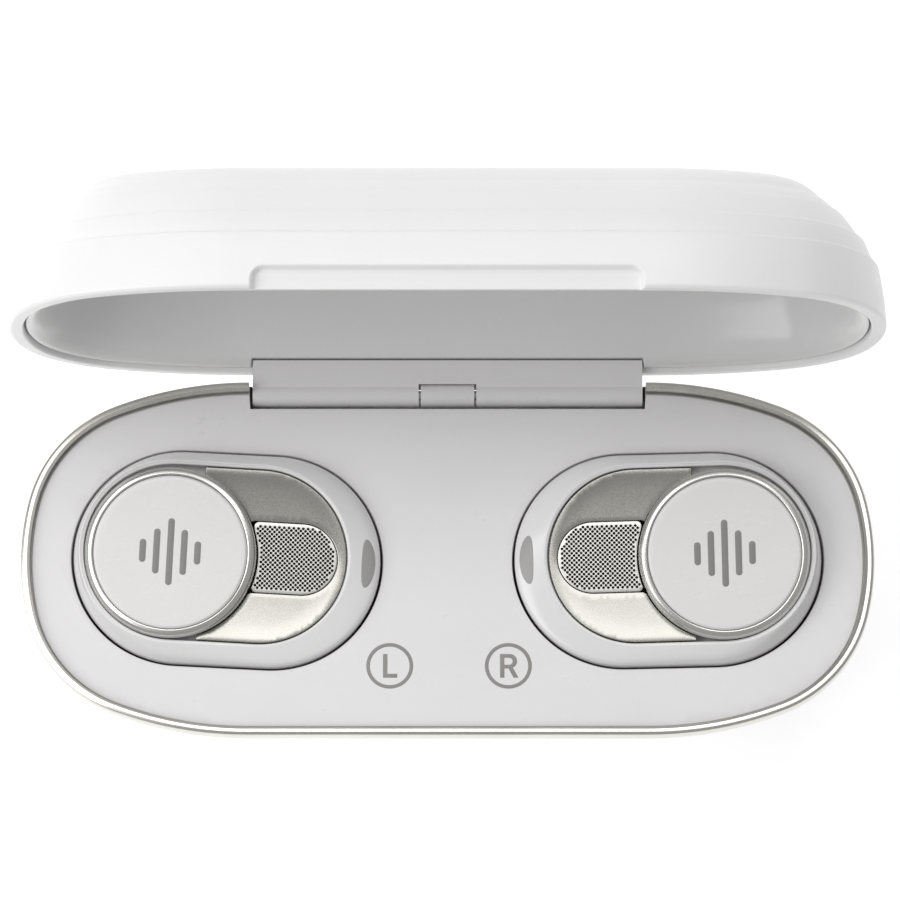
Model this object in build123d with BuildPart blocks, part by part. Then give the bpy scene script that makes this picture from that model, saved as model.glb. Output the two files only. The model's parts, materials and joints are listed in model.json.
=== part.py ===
from build123d import *
import os
from math import sin, cos, tan, radians, sqrt, asin

os.makedirs("parts", exist_ok=True)

# ---------------------------------------------------------------- dimensions
# Planform of the case: a stadium whose ends are drawn with three tangent arcs
# per quadrant, so every offset of it stays an exact set of arcs.
CASE_HALF_LENGTH = 35.0
CASE_HALF_DEPTH = 14.9
ARC_A = 30.8          # long easy arc where the straight side ends
ARC_B = 11.45         # shoulder
ARC_C = 20.8          # flatter nose at each end
ANGLE_A = 69.05       # where arc A hands over to arc B, degrees

# Heights are measured up from a datum 4 mm below the foot of the case.
DATUM = -4.0
FOOT = 4.0            # flat underside
BASE_TOP = 26.0       # top of the trim ring
RING_FOOT = 24.7      # underside of the trim ring
RING_BAND = 0.75      # ring width
RIM_Z = 26.12         # closed height of the lid's rim plane
LID_OVERHANG = 0.35   # lid stands this far outside the ring
LID_HEIGHT = 11.9

HINGE_Y = 14.15       # hinge axis, behind the centre
HINGE_Z = 24.2
LID_OPEN = 88.0       # modelled pose: lid fully open, degrees
HINGE_HALF_WIDTH = 16.1
HINGE_SLOT_HALF = 16.4
KNUCKLE_R = 1.0
PIN_R = 0.40
TAB_HALF = 2.2        # base knuckle in the middle of the hinge

DECK_EDGE = 25.2      # deck height beside the ring
DECK_LOW = 24.95      # deck height in the middle
DECK_HINGE_Y = 12.79  # straight back edge of the deck at the hinge

BUD_X = 18.1          # bud centre from the middle of the case
BUD_YAW = {"left": -2.9, "right": 1.3}
BUD_HL, BUD_HW = 12.6, 8.9       # bud outline at the deck
WELL_GAP = 0.2
TRAY_HL, TRAY_HW, TRAY_C = 10.85, 7.45, -0.85
FACE_Z = 26.95        # centre height of the bud's sunk face
FACE_FRONT_TILT = 5.0
FACE_INNER_TILT = 3.0
DISC_U = -4.25        # touch disc centre along the bud
DISC_R = 6.28
BEZEL_R = 7.05
NOZZLE_U = 4.5


# ---------------------------------------------------------------- outlines
def oval_points(inset):
    """Corner points and arc middles of one quadrant, for an inset outline."""
    ta = radians(ANGLE_A)
    tb = asin((ARC_A - CASE_HALF_DEPTH - (ARC_A - ARC_B) * sin(ta)) / (ARC_B - ARC_C))
    x1 = CASE_HALF_LENGTH - ARC_C - (ARC_B - ARC_C) * cos(tb) - (ARC_A - ARC_B) * cos(ta)
    ca = (x1, CASE_HALF_DEPTH - ARC_A)
    cb = (ca[0] + (ARC_A - ARC_B) * cos(ta), ca[1] + (ARC_A - ARC_B) * sin(ta))
    cc = (cb[0] + (ARC_B - ARC_C) * cos(tb), 0.0)

    def at(c, r, a):
        return (c[0] + (r - inset) * cos(a), c[1] + (r - inset) * sin(a))

    h = radians(90)
    return {
        "top": at(ca, ARC_A, h),
        "am": at(ca, ARC_A, (h + ta) / 2),
        "ab": at(ca, ARC_A, ta),
        "bm": at(cb, ARC_B, (ta + tb) / 2),
        "bc": at(cb, ARC_B, tb),
        "nose": at(cc, ARC_C, 0.0),
    }


def oval(plane, inset):
    """The case outline on a plane, moved inwards by inset."""
    p = oval_points(inset)

    def m(n, sx, sy):
        return (p[n][0] * sx, p[n][1] * sy)

    with BuildSketch(plane) as sk:
        with BuildLine():
            Line(m("top", -1, 1), m("top", 1, 1))
            ThreePointArc(m("top", 1, 1), m("am", 1, 1), m("ab", 1, 1))
            ThreePointArc(m("ab", 1, 1), m("bm", 1, 1), m("bc", 1, 1))
            ThreePointArc(m("bc", 1, 1), m("nose", 1, 1), m("bc", 1, -1))
            ThreePointArc(m("bc", 1, -1), m("bm", 1, -1), m("ab", 1, -1))
            ThreePointArc(m("ab", 1, -1), m("am", 1, -1), m("top", 1, -1))
            Line(m("top", 1, -1), m("top", -1, -1))
            ThreePointArc(m("top", -1, -1), m("am", -1, -1), m("ab", -1, -1))
            ThreePointArc(m("ab", -1, -1), m("bm", -1, -1), m("bc", -1, -1))
            ThreePointArc(m("bc", -1, -1), m("nose", -1, 1), m("bc", -1, 1))
            ThreePointArc(m("bc", -1, 1), m("bm", -1, 1), m("ab", -1, 1))
            ThreePointArc(m("ab", -1, 1), m("am", -1, 1), m("top", -1, 1))
        make_face()
    return sk.sketch


def slot(plane, half_length, half_width, centre=0.0):
    """A round-ended slot along the plane's x axis."""
    with BuildSketch(plane) as sk:
        with Locations((centre, 0)):
            SlotOverall(2 * half_length, 2 * half_width)
    return sk.sketch


def rect(plane, x0, x1, y0, y1):
    with BuildSketch(plane) as sk:
        with Locations(((x0 + x1) / 2, (y0 + y1) / 2)):
            Rectangle(x1 - x0, y1 - y0)
    return sk.sketch


def circle(plane, r, x=0.0, y=0.0):
    with BuildSketch(plane) as sk:
        with Locations((x, y)):
            Circle(r)
    return sk.sketch


def z_plane(z):
    """Level plane at a height above the datum."""
    return Plane.XY.offset(DATUM + z)


def save(part, name):
    part.label = name
    export_step(part, "parts/" + name + ".step")


# ---------------------------------------------------------------- lid frame
# The lid is drawn in its own frame: local z is height above its rim plane,
# local -y is its front. The frame is turned about the hinge to the open pose.
_t = radians(LID_OPEN)
_vy, _vz = -HINGE_Y, RIM_Z - HINGE_Z
LID_ORIGIN = (0,
              HINGE_Y + _vy * cos(_t) + _vz * sin(_t),
              DATUM + HINGE_Z - _vy * sin(_t) + _vz * cos(_t))
LID = Plane(origin=LID_ORIGIN, x_dir=(1, 0, 0), z_dir=(0, sin(_t), cos(_t)))
# section plane of the lid: local x runs to the lid's back, local y is height
LID_YZ = Plane(origin=LID_ORIGIN, x_dir=(0, cos(_t), -sin(_t)), z_dir=(1, 0, 0))
BASE_YZ = Plane(origin=(0, 0, DATUM), x_dir=(0, 1, 0), z_dir=(1, 0, 0))


def lid_oval(h, inset):
    return oval(LID.offset(h), inset - LID_OVERHANG)


# ports in the back wall: charging socket, pairing button, status light
USB = Plane(origin=(0, 10.05, DATUM + 9.35), x_dir=(1, 0, 0), z_dir=(0, 1, 0))
LED = Plane(origin=(8.3, 10.0, DATUM + 9.35), x_dir=(1, 0, 0), z_dir=(0, 1, 0))
BTN_LEAN = 14.0       # the back wall leans in by this much
BTN = Plane(origin=(0, 12.62, DATUM + 18.7), x_dir=(1, 0, 0),
            z_dir=(0, cos(radians(BTN_LEAN)), -sin(radians(BTN_LEAN))))

# ================================================================ BASE
with BuildPart() as base_shell:
    for tier in (
        ((24.70, 0.25), (22.80, 0.85), (20.60, 1.55)),
        ((20.60, 1.80), (18.70, 2.33), (16.80, 2.75)),
        ((16.80, 3.00), (14.50, 3.55), (12.20, 4.00)),
        ((12.20, 4.22), (9.20, 4.45), (6.00, 4.72)),
    ):
        loft([oval(z_plane(z), i) for z, i in tier])
    # rolled edge round the foot
    rolled = ((6.00, 4.72), (5.05, 4.90), (4.45, 5.20), (4.12, 5.62), (FOOT, 6.10))
    for lo, hi in zip(rolled[1:], rolled[:-1]):
        loft([oval(z_plane(lo[0]), lo[1]), oval(z_plane(hi[0]), hi[1])], ruled=True)
    # hollow inside: walls and floor about 1.25 mm
    for tier in (
        ((24.80, 1.50), (23.60, 1.50)),
        ((23.60, 1.90), (20.30, 3.00)),
        ((20.30, 3.00), (16.50, 4.20)),
        ((16.50, 4.20), (12.00, 5.45)),
        ((12.00, 5.45), (8.60, 6.05)),
        ((8.60, 6.05), (6.30, 6.90)),
        ((6.30, 6.90), (5.30, 7.90)),
    ):
        loft([oval(z_plane(z), i) for z, i in tier], ruled=True, mode=Mode.SUBTRACT)
    # slot in the back wall for the hinge
    extrude(rect(z_plane(22.95), -HINGE_SLOT_HALF, HINGE_SLOT_HALF, 11.5, 16.0),
            amount=3, mode=Mode.SUBTRACT)
    # charging port mouth, button hole and light hole, all through the back wall
    with BuildSketch(USB.offset(2)) as usb_mouth:
        SlotOverall(9.3, 3.62)
    extrude(usb_mouth.sketch, amount=-6, mode=Mode.SUBTRACT)
    extrude(circle(BTN.offset(2), 1.75), amount=-5, mode=Mode.SUBTRACT)
    extrude(circle(LED.offset(2), 0.62), amount=-6, mode=Mode.SUBTRACT)
save(base_shell.part, "base_shell")

with BuildPart() as trim_ring:
    loft([oval(z_plane(RING_FOOT), 0.0), oval(z_plane(25.72), 0.0)], ruled=True)
    loft([oval(z_plane(25.72), 0.0), oval(z_plane(25.92), 0.08)], ruled=True)
    loft([oval(z_plane(25.92), 0.08), oval(z_plane(BASE_TOP), 0.27)], ruled=True)
    loft([oval(z_plane(RING_FOOT - 0.1), RING_BAND), oval(z_plane(25.9), RING_BAND)],
         ruled=True, mode=Mode.SUBTRACT)
    loft([oval(z_plane(25.9), RING_BAND), oval(z_plane(26.1), RING_BAND - 0.2)],
         ruled=True, mode=Mode.SUBTRACT)
    extrude(rect(z_plane(24), -HINGE_SLOT_HALF, HINGE_SLOT_HALF, 11.5, 16.0),
            amount=3, mode=Mode.SUBTRACT)
save(trim_ring.part, "trim_ring")


def bud_frame(side):
    """Upright frame of one bud: x runs to the middle of the case."""
    if side == "left":
        a = radians(BUD_YAW[side])
        return Plane(origin=(-BUD_X, 0, DATUM), x_dir=(cos(a), sin(a), 0), z_dir=(0, 0, 1)), 1.0
    a = radians(BUD_YAW[side])
    return Plane(origin=(BUD_X, 0, DATUM), x_dir=(-cos(a), -sin(a), 0), z_dir=(0, 0, 1)), -1.0


# outer and inner sections of a bud well: height, half length, half width, centre
WELL_IN = ((25.4, BUD_HL + WELL_GAP, BUD_HW + WELL_GAP, 0.0),
           (20.5, 12.3, 8.8, 0.0),
           (14.3, 10.0, 7.8, 1.0))
WELL_OUT = ((24.1, BUD_HL + WELL_GAP + 0.8, BUD_HW + WELL_GAP + 0.8, 0.0),
            (20.5, 13.1, 9.6, 0.0),
            (13.5, 10.7, 8.5, 1.0))
PIN_U = (-6.8, -4.4)          # charging pins along the bud
MAG_U, MAG_V = -2.2, -4.8     # magnet that holds the bud down

with BuildPart() as deck_tray:
    extrude(oval(z_plane(24.72), 0.90), amount=DECK_EDGE - 24.72)
    extrude(oval(z_plane(23.90), 1.65), amount=0.82)
    # shallow dish of the deck
    loft([oval(z_plane(25.21), 1.25), oval(z_plane(25.05), 3.2), oval(z_plane(DECK_LOW), 6.5)],
         ruled=True, mode=Mode.SUBTRACT)
    for side in ("left", "right"):
        fr, m = bud_frame(side)
        for lo, hi in zip(WELL_OUT[1:], WELL_OUT[:-1]):
            loft([slot(fr.offset(lo[0]), lo[1], lo[2], lo[3]),
                  slot(fr.offset(hi[0]), hi[1], hi[2], hi[3])], ruled=True)
        extrude(circle(fr.offset(8.0), 6.9, NOZZLE_U), amount=6.0)
        loft([circle(fr.offset(5.5), 5.8, NOZZLE_U), circle(fr.offset(8.0), 6.9, NOZZLE_U)],
             ruled=True)
    for side in ("left", "right"):
        fr, m = bud_frame(side)
        for lo, hi in zip(WELL_IN[1:], WELL_IN[:-1]):
            loft([slot(fr.offset(lo[0]), lo[1], lo[2], lo[3]),
                  slot(fr.offset(hi[0]), hi[1], hi[2], hi[3])], ruled=True, mode=Mode.SUBTRACT)
        extrude(circle(fr.offset(8.0), 6.1, NOZZLE_U), amount=6.5, mode=Mode.SUBTRACT)
        loft([circle(fr.offset(6.3), 5.1, NOZZLE_U), circle(fr.offset(8.0), 6.1, NOZZLE_U)],
             ruled=True, mode=Mode.SUBTRACT)
        for u in PIN_U:
            extrude(circle(fr.offset(13.0), 0.55, u), amount=2.0, mode=Mode.SUBTRACT)
    # straight back edge at the hinge
    extrude(rect(z_plane(22.0), -HINGE_SLOT_HALF, HINGE_SLOT_HALF, DECK_HINGE_Y, 16.5),
            amount=5, mode=Mode.SUBTRACT)
    # bosses for the hinge bracket screws
    for x in (-3.9, 3.9):
        extrude(circle(z_plane(23.44), 1.2, x, 11.3), amount=0.6)
        extrude(circle(z_plane(23.3), 0.42, x, 11.3), amount=1.25, mode=Mode.SUBTRACT)
save(deck_tray.part, "deck_tray")

# base half of the hinge: a plate under the deck with one knuckle in the middle
with BuildPart() as hinge_bracket:
    extrude(rect(z_plane(22.98), -6.0, 6.0, 10.35, 12.6), amount=0.44)
    extrude(rect(z_plane(22.98), -TAB_HALF, TAB_HALF, 12.5, 14.6), amount=0.44)
    extrude(rect(z_plane(22.98), -TAB_HALF, TAB_HALF, 13.15, 14.6), amount=HINGE_Z - 22.98)
    with BuildSketch(BASE_YZ.offset(-TAB_HALF)) as tab_round:
        with Locations((HINGE_Y, HINGE_Z)):
            Circle(KNUCKLE_R)
    extrude(tab_round.sketch, amount=2 * TAB_HALF)
    with BuildSketch(BASE_YZ.offset(-TAB_HALF - 1)) as tab_bore:
        with Locations((HINGE_Y, HINGE_Z)):
            Circle(PIN_R + 0.01)
    extrude(tab_bore.sketch, amount=2 * TAB_HALF + 2, mode=Mode.SUBTRACT)
    for x in (-3.9, 3.9):
        extrude(circle(z_plane(22.0), 0.6, x, 11.3), amount=3, mode=Mode.SUBTRACT)
save(hinge_bracket.part, "hinge_bracket")

with BuildPart() as bracket_screws:
    for x in (-3.9, 3.9):
        extrude(circle(z_plane(22.40), 0.85, x, 11.3), amount=0.56)
        extrude(circle(z_plane(22.50), 0.40, x, 11.3), amount=2.0)
    for x in (-3.9, 3.9):
        extrude(rect(z_plane(22.3), x - 0.6, x + 0.6, 11.19, 11.41), amount=0.3,
                mode=Mode.SUBTRACT)
        extrude(rect(z_plane(22.3), x - 0.11, x + 0.11, 10.7, 11.9), amount=0.3,
                mode=Mode.SUBTRACT)
save(bracket_screws.part, "bracket_screws")

with BuildPart() as hinge_pin:
    with BuildSketch(BASE_YZ.offset(-15.6)) as pin_round:
        with Locations((HINGE_Y, HINGE_Z)):
            Circle(PIN_R)
    extrude(pin_round.sketch, amount=31.2)
    chamfer(hinge_pin.edges().filter_by(GeomType.CIRCLE), length=0.08)
save(hinge_pin.part, "hinge_pin")

# ---- electronics in the base, between the two wells
with BuildPart() as case_battery:
    extrude(rect(z_plane(11.5), -4.0, 4.0, -8.1, 8.1), amount=10.2)
    fillet(case_battery.edges().filter_by(Axis.Z), radius=1.2)
    fillet(case_battery.faces().sort_by(Axis.Z)[-1].edges(), radius=0.4)
save(case_battery.part, "case_battery")

with BuildPart() as battery_pad:
    extrude(rect(z_plane(21.8), -3.4, 3.4, -6.6, 6.6), amount=2.0)
    fillet(battery_pad.edges().filter_by(Axis.Z), radius=0.8)
save(battery_pad.part, "battery_pad")

with BuildPart() as main_board:
    extrude(rect(z_plane(6.9), -6.0, 6.0, -7.0, 7.0), amount=0.8)
    fillet(main_board.edges().filter_by(Axis.Z), radius=0.8)
    for x in (-4.6, 4.6):
        extrude(circle(z_plane(6.0), 0.75, x, -5.4), amount=2, mode=Mode.SUBTRACT)
save(main_board.part, "main_board")

with BuildPart() as board_chips:
    for x, y, w, d, h in ((-2.6, -1.6, 3.6, 3.6, 0.75), (2.9, -1.2, 2.6, 2.6, 0.7),
                          (0.2, -5.2, 2.4, 2.0, 0.9), (4.6, 1.4, 1.2, 1.0, 0.9)):
        extrude(rect(z_plane(7.7), x - w / 2, x + w / 2, y - d / 2, y + d / 2), amount=h)
save(board_chips.part, "board_chips")

with BuildPart() as board_posts:
    for x in (-4.6, 4.6):
        extrude(circle(z_plane(5.3), 1.2, x, -5.4), amount=1.6)
        extrude(circle(z_plane(5.4), 0.5, x, -5.4), amount=2.0, mode=Mode.SUBTRACT)
save(board_posts.part, "board_posts")

with BuildPart() as board_screws:
    for x in (-4.6, 4.6):
        extrude(circle(z_plane(7.7), 1.1, x, -5.4), amount=0.6)
        extrude(circle(z_plane(5.6), 0.5, x, -5.4), amount=2.2)
    for x in (-4.6, 4.6):
        extrude(rect(z_plane(8.05), x - 0.75, x + 0.75, -5.52, -5.28), amount=0.4,
                mode=Mode.SUBTRACT)
        extrude(rect(z_plane(8.05), x - 0.12, x + 0.12, -6.15, -4.65), amount=0.4,
                mode=Mode.SUBTRACT)
save(board_screws.part, "board_screws")

with BuildPart() as usb_c_socket:
    with BuildSketch(USB) as usb_out:
        SlotOverall(8.94, 3.26)
    extrude(usb_out.sketch, amount=-7.35)
    with BuildSketch(USB) as usb_in:
        SlotOverall(8.34, 2.56)
    extrude(usb_in.sketch, amount=-6.2, mode=Mode.SUBTRACT)
save(usb_c_socket.part, "usb_c_socket")

with BuildPart() as usb_c_tongue:
    with BuildSketch(USB.offset(-6.2)) as tongue:
        RectangleRounded(6.69, 0.7, 0.2)
    extrude(tongue.sketch, amount=5.2)
save(usb_c_tongue.part, "usb_c_tongue")

# pairing button in the back wall, on its own switch
with BuildPart() as pairing_button:
    extrude(circle(BTN.offset(-1.75), 1.60), amount=1.87)
    fillet(pairing_button.faces().sort_by(Axis.Y)[-1].edges(), radius=0.25)
    extrude(circle(BTN.offset(-2.15), 2.05), amount=0.42)
save(pairing_button.part, "pairing_button")

with BuildPart() as button_switch:
    extrude(rect(BTN.offset(-3.75), -1.7, 1.7, -1.4, 1.4), amount=0.95)
    extrude(circle(BTN.offset(-2.85), 0.7), amount=0.3)
save(button_switch.part, "button_switch")

with BuildPart() as light_pipe:
    extrude(circle(LED.offset(-2.4), 0.55), amount=2.35)
save(light_pipe.part, "light_pipe")

with BuildPart() as hall_sensor:
    extrude(rect(z_plane(22.9), -1.0, 1.0, -11.9, -10.9), amount=0.9)
save(hall_sensor.part, "hall_sensor")

with BuildPart() as base_magnets:
    for x in (-7.0, 7.0):
        extrude(rect(z_plane(22.3), x - 2.5, x + 2.5, -12.55, -11.2), amount=1.5)
save(base_magnets.part, "base_magnets")

with BuildPart() as well_magnets:
    for side in ("left", "right"):
        fr, m = bud_frame(side)
        extrude(circle(fr.offset(12.0), 1.05, MAG_U, MAG_V * m), amount=1.45)
save(well_magnets.part, "well_magnets")

for side in ("left", "right"):
    fr, m = bud_frame(side)
    with BuildPart() as pogo_holder:
        extrude(slot(fr.offset(10.9), 2.55, 1.4, sum(PIN_U) / 2), amount=2.55)
        for u in PIN_U:
            extrude(circle(fr.offset(11.5), 0.66, u), amount=3, mode=Mode.SUBTRACT)
    save(pogo_holder.part, side + "_pogo_holder")
    for n, u in zip(("outer", "inner"), PIN_U):
        with BuildPart() as pogo_pin:
            extrude(circle(fr.offset(12.35), 0.60, u), amount=0.5)
            extrude(circle(fr.offset(12.85), 0.45, u), amount=1.75)
            fillet(pogo_pin.faces().sort_by(Axis.Z)[-1].edges(), radius=0.2)
        save(pogo_pin.part, side + "_pogo_pin_" + n)

# ================================================================ LID
with BuildPart() as notch:
    # finger scoop under the front edge of the lid
    with BuildSketch(LID_YZ.offset(-15.3)) as scoop:
        with BuildLine():
            Polyline((-16.5, -0.5), (-14.30, -0.5), (-14.45, 0.9), (-14.62, 1.55),
                     (-14.95, 1.95), (-16.5, 2.05), close=True)
        make_face()
    extrude(scoop.sketch, amount=30.6)
    front = Plane(origin=LID.from_local_coords((0, -18, 0)), x_dir=(1, 0, 0),
                  z_dir=-LID.y_dir)
    with BuildSketch(front) as scoop_front:
        RectangleRounded(30.6, 4.0, 0.85)
    extrude(scoop_front.sketch, amount=6, both=True, mode=Mode.INTERSECT)

with BuildPart() as lid_shell:
    loft([lid_oval(0.0, 0.22), lid_oval(0.07, 0.08)], ruled=True)
    loft([lid_oval(0.07, 0.08), lid_oval(0.25, 0.0)], ruled=True)
    for tier in (
        ((0.25, 0.0), (2.6, 0.18), (4.95, 0.55)),
        ((4.95, 0.95), (5.9, 1.22), (6.90, 1.60)),
        ((6.90, 1.92), (7.9, 2.50), (8.90, 3.25)),
        ((8.90, 3.48), (9.4, 3.98), (9.90, 4.60)),
    ):
        loft([lid_oval(h, i) for h, i in tier])
    crown = []
    for k in (0.0, 0.2, 0.4, 0.6, 0.8, 1.0):
        crown.append(lid_oval(9.90 + (LID_HEIGHT - 9.90) * (1 - (1 - k) ** 2.4),
                              4.78 + 6.4 * k))
    loft(crown)
    for tier in (
        ((-0.1, 1.2), (4.5, 1.75)),
        ((4.5, 1.75), (7.0, 3.0)),
        ((7.0, 3.0), (9.0, 4.9)),
        ((9.0, 4.9), (10.3, 7.4)),
        ((10.3, 7.4), (10.85, 10.2)),
    ):
        loft([lid_oval(h, i) for h, i in tier], ruled=True, mode=Mode.SUBTRACT)
    add(notch.part, mode=Mode.SUBTRACT)
    # the wall is a little shorter behind the scoop
    with BuildSketch(LID_YZ.offset(-15.0)) as lip:
        with Locations((-14.2, 0.0)):
            Rectangle(3.0, 0.76)
    extrude(lip.sketch, amount=30.0, mode=Mode.SUBTRACT)
save(lid_shell.part, "lid_shell")

with BuildPart() as lid_liner:
    loft([lid_oval(0.5, 1.38), lid_oval(1.3, 1.45)], ruled=True)
    for tier in (
        ((1.3, 2.45), (5.0, 3.05)),
        ((5.0, 3.05), (7.5, 4.4)),
        ((7.5, 4.4), (9.2, 6.5)),
        ((9.2, 6.5), (10.1, 9.4)),
    ):
        loft([lid_oval(h, i) for h, i in tier], ruled=True)
    loft([lid_oval(0.4, 2.00), lid_oval(1.3, 3.05)], ruled=True, mode=Mode.SUBTRACT)
    loft([lid_oval(h, i) for h, i in
          ((1.3, 3.05), (3.4, 3.55), (5.6, 4.35), (7.3, 5.7), (8.5, 7.7), (9.15, 10.2))],
         mode=Mode.SUBTRACT)
    # pocket for the hinge block's plate
    with BuildSketch(LID_YZ.offset(-HINGE_HALF_WIDTH - 0.1)) as pocket:
        with Locations((14.0, 0.0)):
            Rectangle(2.2, 2.0)
    extrude(pocket.sketch, amount=2 * HINGE_HALF_WIDTH + 0.2, mode=Mode.SUBTRACT)
save(lid_liner.part, "lid_liner")

AXIS_H = HINGE_Z - RIM_Z      # hinge axis height in the lid's frame
with BuildPart() as lid_hinge_block:
    with BuildSketch(LID_YZ.offset(-HINGE_HALF_WIDTH)) as block:
        with BuildLine():
            Polyline((13.3, 0.9), (13.85, 0.9), (13.85, -0.05), (15.05, -0.05),
                     (15.10, AXIS_H), (13.3, AXIS_H), close=True)
        make_face()
        with Locations((HINGE_Y, AXIS_H)):
            Circle(KNUCKLE_R)
    extrude(block.sketch, amount=2 * HINGE_HALF_WIDTH)
    with BuildSketch(LID_YZ.offset(-TAB_HALF - 0.18)) as tab_room:
        with Locations((HINGE_Y, AXIS_H)):
            Circle(KNUCKLE_R + 0.16)
    extrude(tab_room.sketch, amount=2 * TAB_HALF + 0.36, mode=Mode.SUBTRACT)
    with BuildSketch(LID_YZ.offset(-15.8)) as bore:
        with Locations((HINGE_Y, AXIS_H)):
            Circle(PIN_R + 0.05)
    extrude(bore.sketch, amount=31.6, mode=Mode.SUBTRACT)
save(lid_hinge_block.part, "lid_hinge_block")

with BuildPart() as lid_magnets:
    for x in (-7.0, 7.0):
        extrude(rect(LID.offset(1.4), x - 2.5, x + 2.5, -13.50, -12.85), amount=2.2)
save(lid_magnets.part, "lid_magnets")

# ================================================================ EARBUDS
for side in ("left", "right"):
    fr, m = bud_frame(side)
    up = Vector(0, 0, 1)
    ux, uy = fr.x_dir, fr.y_dir * m       # towards the middle; towards the back

    def leaning(u, z, front, inner):
        """A plane at height z over the bud, leaning to the front and inwards."""
        n = up - uy * tan(radians(front)) + ux * tan(radians(inner))
        o = fr.origin + ux * u + up * z
        n = n.normalized()
        xd = (ux - n * ux.dot(n)).normalized()
        return Plane(origin=o, x_dir=xd, z_dir=n)

    face = leaning(TRAY_C, FACE_Z, FACE_FRONT_TILT, FACE_INNER_TILT)
    half = leaning(0, 26.25, FACE_FRONT_TILT * 0.45, FACE_INNER_TILT * 0.5)
    disc = leaning(DISC_U, FACE_Z + 0.15, FACE_FRONT_TILT + 2.5, 0.0)

    with BuildPart() as bud_cover:
        loft([slot(fr.offset(20.9), 12.10, 8.60), slot(fr.offset(24.8), BUD_HL, BUD_HW)],
             ruled=True)
        loft([slot(fr.offset(24.8), BUD_HL, BUD_HW),
              slot(fr.offset(25.5), BUD_HL - 0.10, BUD_HW - 0.10),
              slot(half, 12.00, 8.45, -0.15),
              slot(face, 11.20, 7.75)])
        # recess for the metal face and the touch module
        extrude(slot(face.offset(-1.15), TRAY_HL, TRAY_HW), amount=3, mode=Mode.SUBTRACT)
        loft([slot(fr.offset(20.8), 11.10, 7.60), slot(fr.offset(24.3), 11.1, 7.60)],
             ruled=True, mode=Mode.SUBTRACT)
        extrude(slot(fr.offset(24.2), 10.0, 6.5, TRAY_C), amount=3, mode=Mode.SUBTRACT)
    save(bud_cover.part, side + "_bud_cover")

    with BuildPart() as bud_body:
        loft([slot(fr.offset(14.75), 9.3, 7.2, 1.0), slot(fr.offset(16.2), 10.15, 7.6, 0.72),
              slot(fr.offset(18.4), 11.1, 8.08, 0.33), slot(fr.offset(20.85), 12.0, 8.5)])
        extrude(circle(fr.offset(8.3), 2.5, NOZZLE_U), amount=7)
        loft([slot(fr.offset(15.65), 8.35, 6.25, 1.0), slot(fr.offset(18.4), 10.15, 7.15, 0.33),
              slot(fr.offset(20.95), 11.1, 7.6)], ruled=True, mode=Mode.SUBTRACT)
        extrude(circle(fr.offset(8.0), 1.9, NOZZLE_U), amount=8, mode=Mode.SUBTRACT)
        for u in PIN_U:
            extrude(circle(fr.offset(14.0), 0.76, u), amount=3, mode=Mode.SUBTRACT)
    save(bud_body.part, side + "_bud_body")

    with BuildPart() as face_plate:
        extrude(slot(face.offset(-0.85), TRAY_HL - 0.08, TRAY_HW - 0.08), amount=0.55)
        # only the part beside the touch module is left
        extrude(circle(disc.offset(-4), BEZEL_R + 0.05), amount=8, mode=Mode.SUBTRACT)
        extrude(rect(face.offset(-3), -14, DISC_U - TRAY_C + 2.2, -9, 9), amount=6,
                mode=Mode.SUBTRACT)
        with BuildSketch(face.offset(-2)) as window:
            with Locations((5.2, 0)):
                SlotOverall(9.6, 5.95)
        extrude(window.sketch, amount=4, mode=Mode.SUBTRACT)
    save(face_plate.part, side + "_face_plate")

    with BuildPart() as vent_mesh:
        with BuildSketch(face.offset(-0.80)) as mesh_slot:
            with Locations((5.2, 0)):
                SlotOverall(9.5, 5.85)
        extrude(mesh_slot.sketch, amount=0.40)
        extrude(circle(disc.offset(-4), BEZEL_R + 0.35), amount=8, mode=Mode.SUBTRACT)
        extrude(rect(face.offset(-3), -14, 1.0, -9, 9), amount=6, mode=Mode.SUBTRACT)
    save(vent_mesh.part, side + "_vent_mesh")

    with BuildPart() as touch_bezel:
        extrude(circle(disc.offset(-0.30), BEZEL_R), amount=1.0)
        loft([circle(disc.offset(0.70), BEZEL_R), circle(disc.offset(1.10), BEZEL_R - 0.45)],
             ruled=True)
        extrude(circle(disc.offset(0.45), DISC_R + 0.04), amount=2, mode=Mode.SUBTRACT)
        extrude(circle(disc.offset(-2.0), 4.2), amount=4, mode=Mode.SUBTRACT)
    save(touch_bezel.part, side + "_touch_bezel")

    with BuildPart() as touch_disc:
        extrude(circle(disc.offset(0.47), DISC_R), amount=0.55)
        loft([circle(disc.offset(1.02), DISC_R), circle(disc.offset(1.16), DISC_R - 0.22)],
             ruled=True)
    save(touch_disc.part, side + "_touch_disc")

    with BuildPart() as ear_tip:
        with BuildSketch(Plane(origin=fr.origin + ux * NOZZLE_U, x_dir=ux, z_dir=ux.cross(up))) as tip:
            with BuildLine():
                Spline((2.0, 6.95), (4.3, 7.55), (5.35, 9.6), (5.5, 11.6), (5.15, 13.1))
                Line((5.15, 13.1), (4.75, 13.0))
                Spline((4.75, 13.0), (4.95, 11.5), (4.65, 9.9), (3.4, 8.9))
                Line((3.4, 8.9), (3.35, 13.4))
                Line((3.35, 13.4), (2.56, 13.4))
                Line((2.56, 13.4), (2.56, 7.9))
                Line((2.56, 7.9), (2.0, 7.7))
                Line((2.0, 7.7), (2.0, 6.95))
            make_face()
        revolve(tip.sketch, axis=Axis(tuple(fr.origin + ux * NOZZLE_U), (0, 0, 1)))
    save(ear_tip.part, side + "_ear_tip")

    with BuildPart() as nozzle_screen:
        extrude(circle(fr.offset(8.45), 1.88, NOZZLE_U), amount=0.25)
    save(nozzle_screen.part, side + "_nozzle_screen")

    with BuildPart() as driver:
        extrude(circle(fr.offset(16.9), 4.4, 4.7), amount=2.6)
        extrude(circle(fr.offset(19.5), 3.2, 4.7), amount=0.8)
    save(driver.part, side + "_driver")

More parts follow.
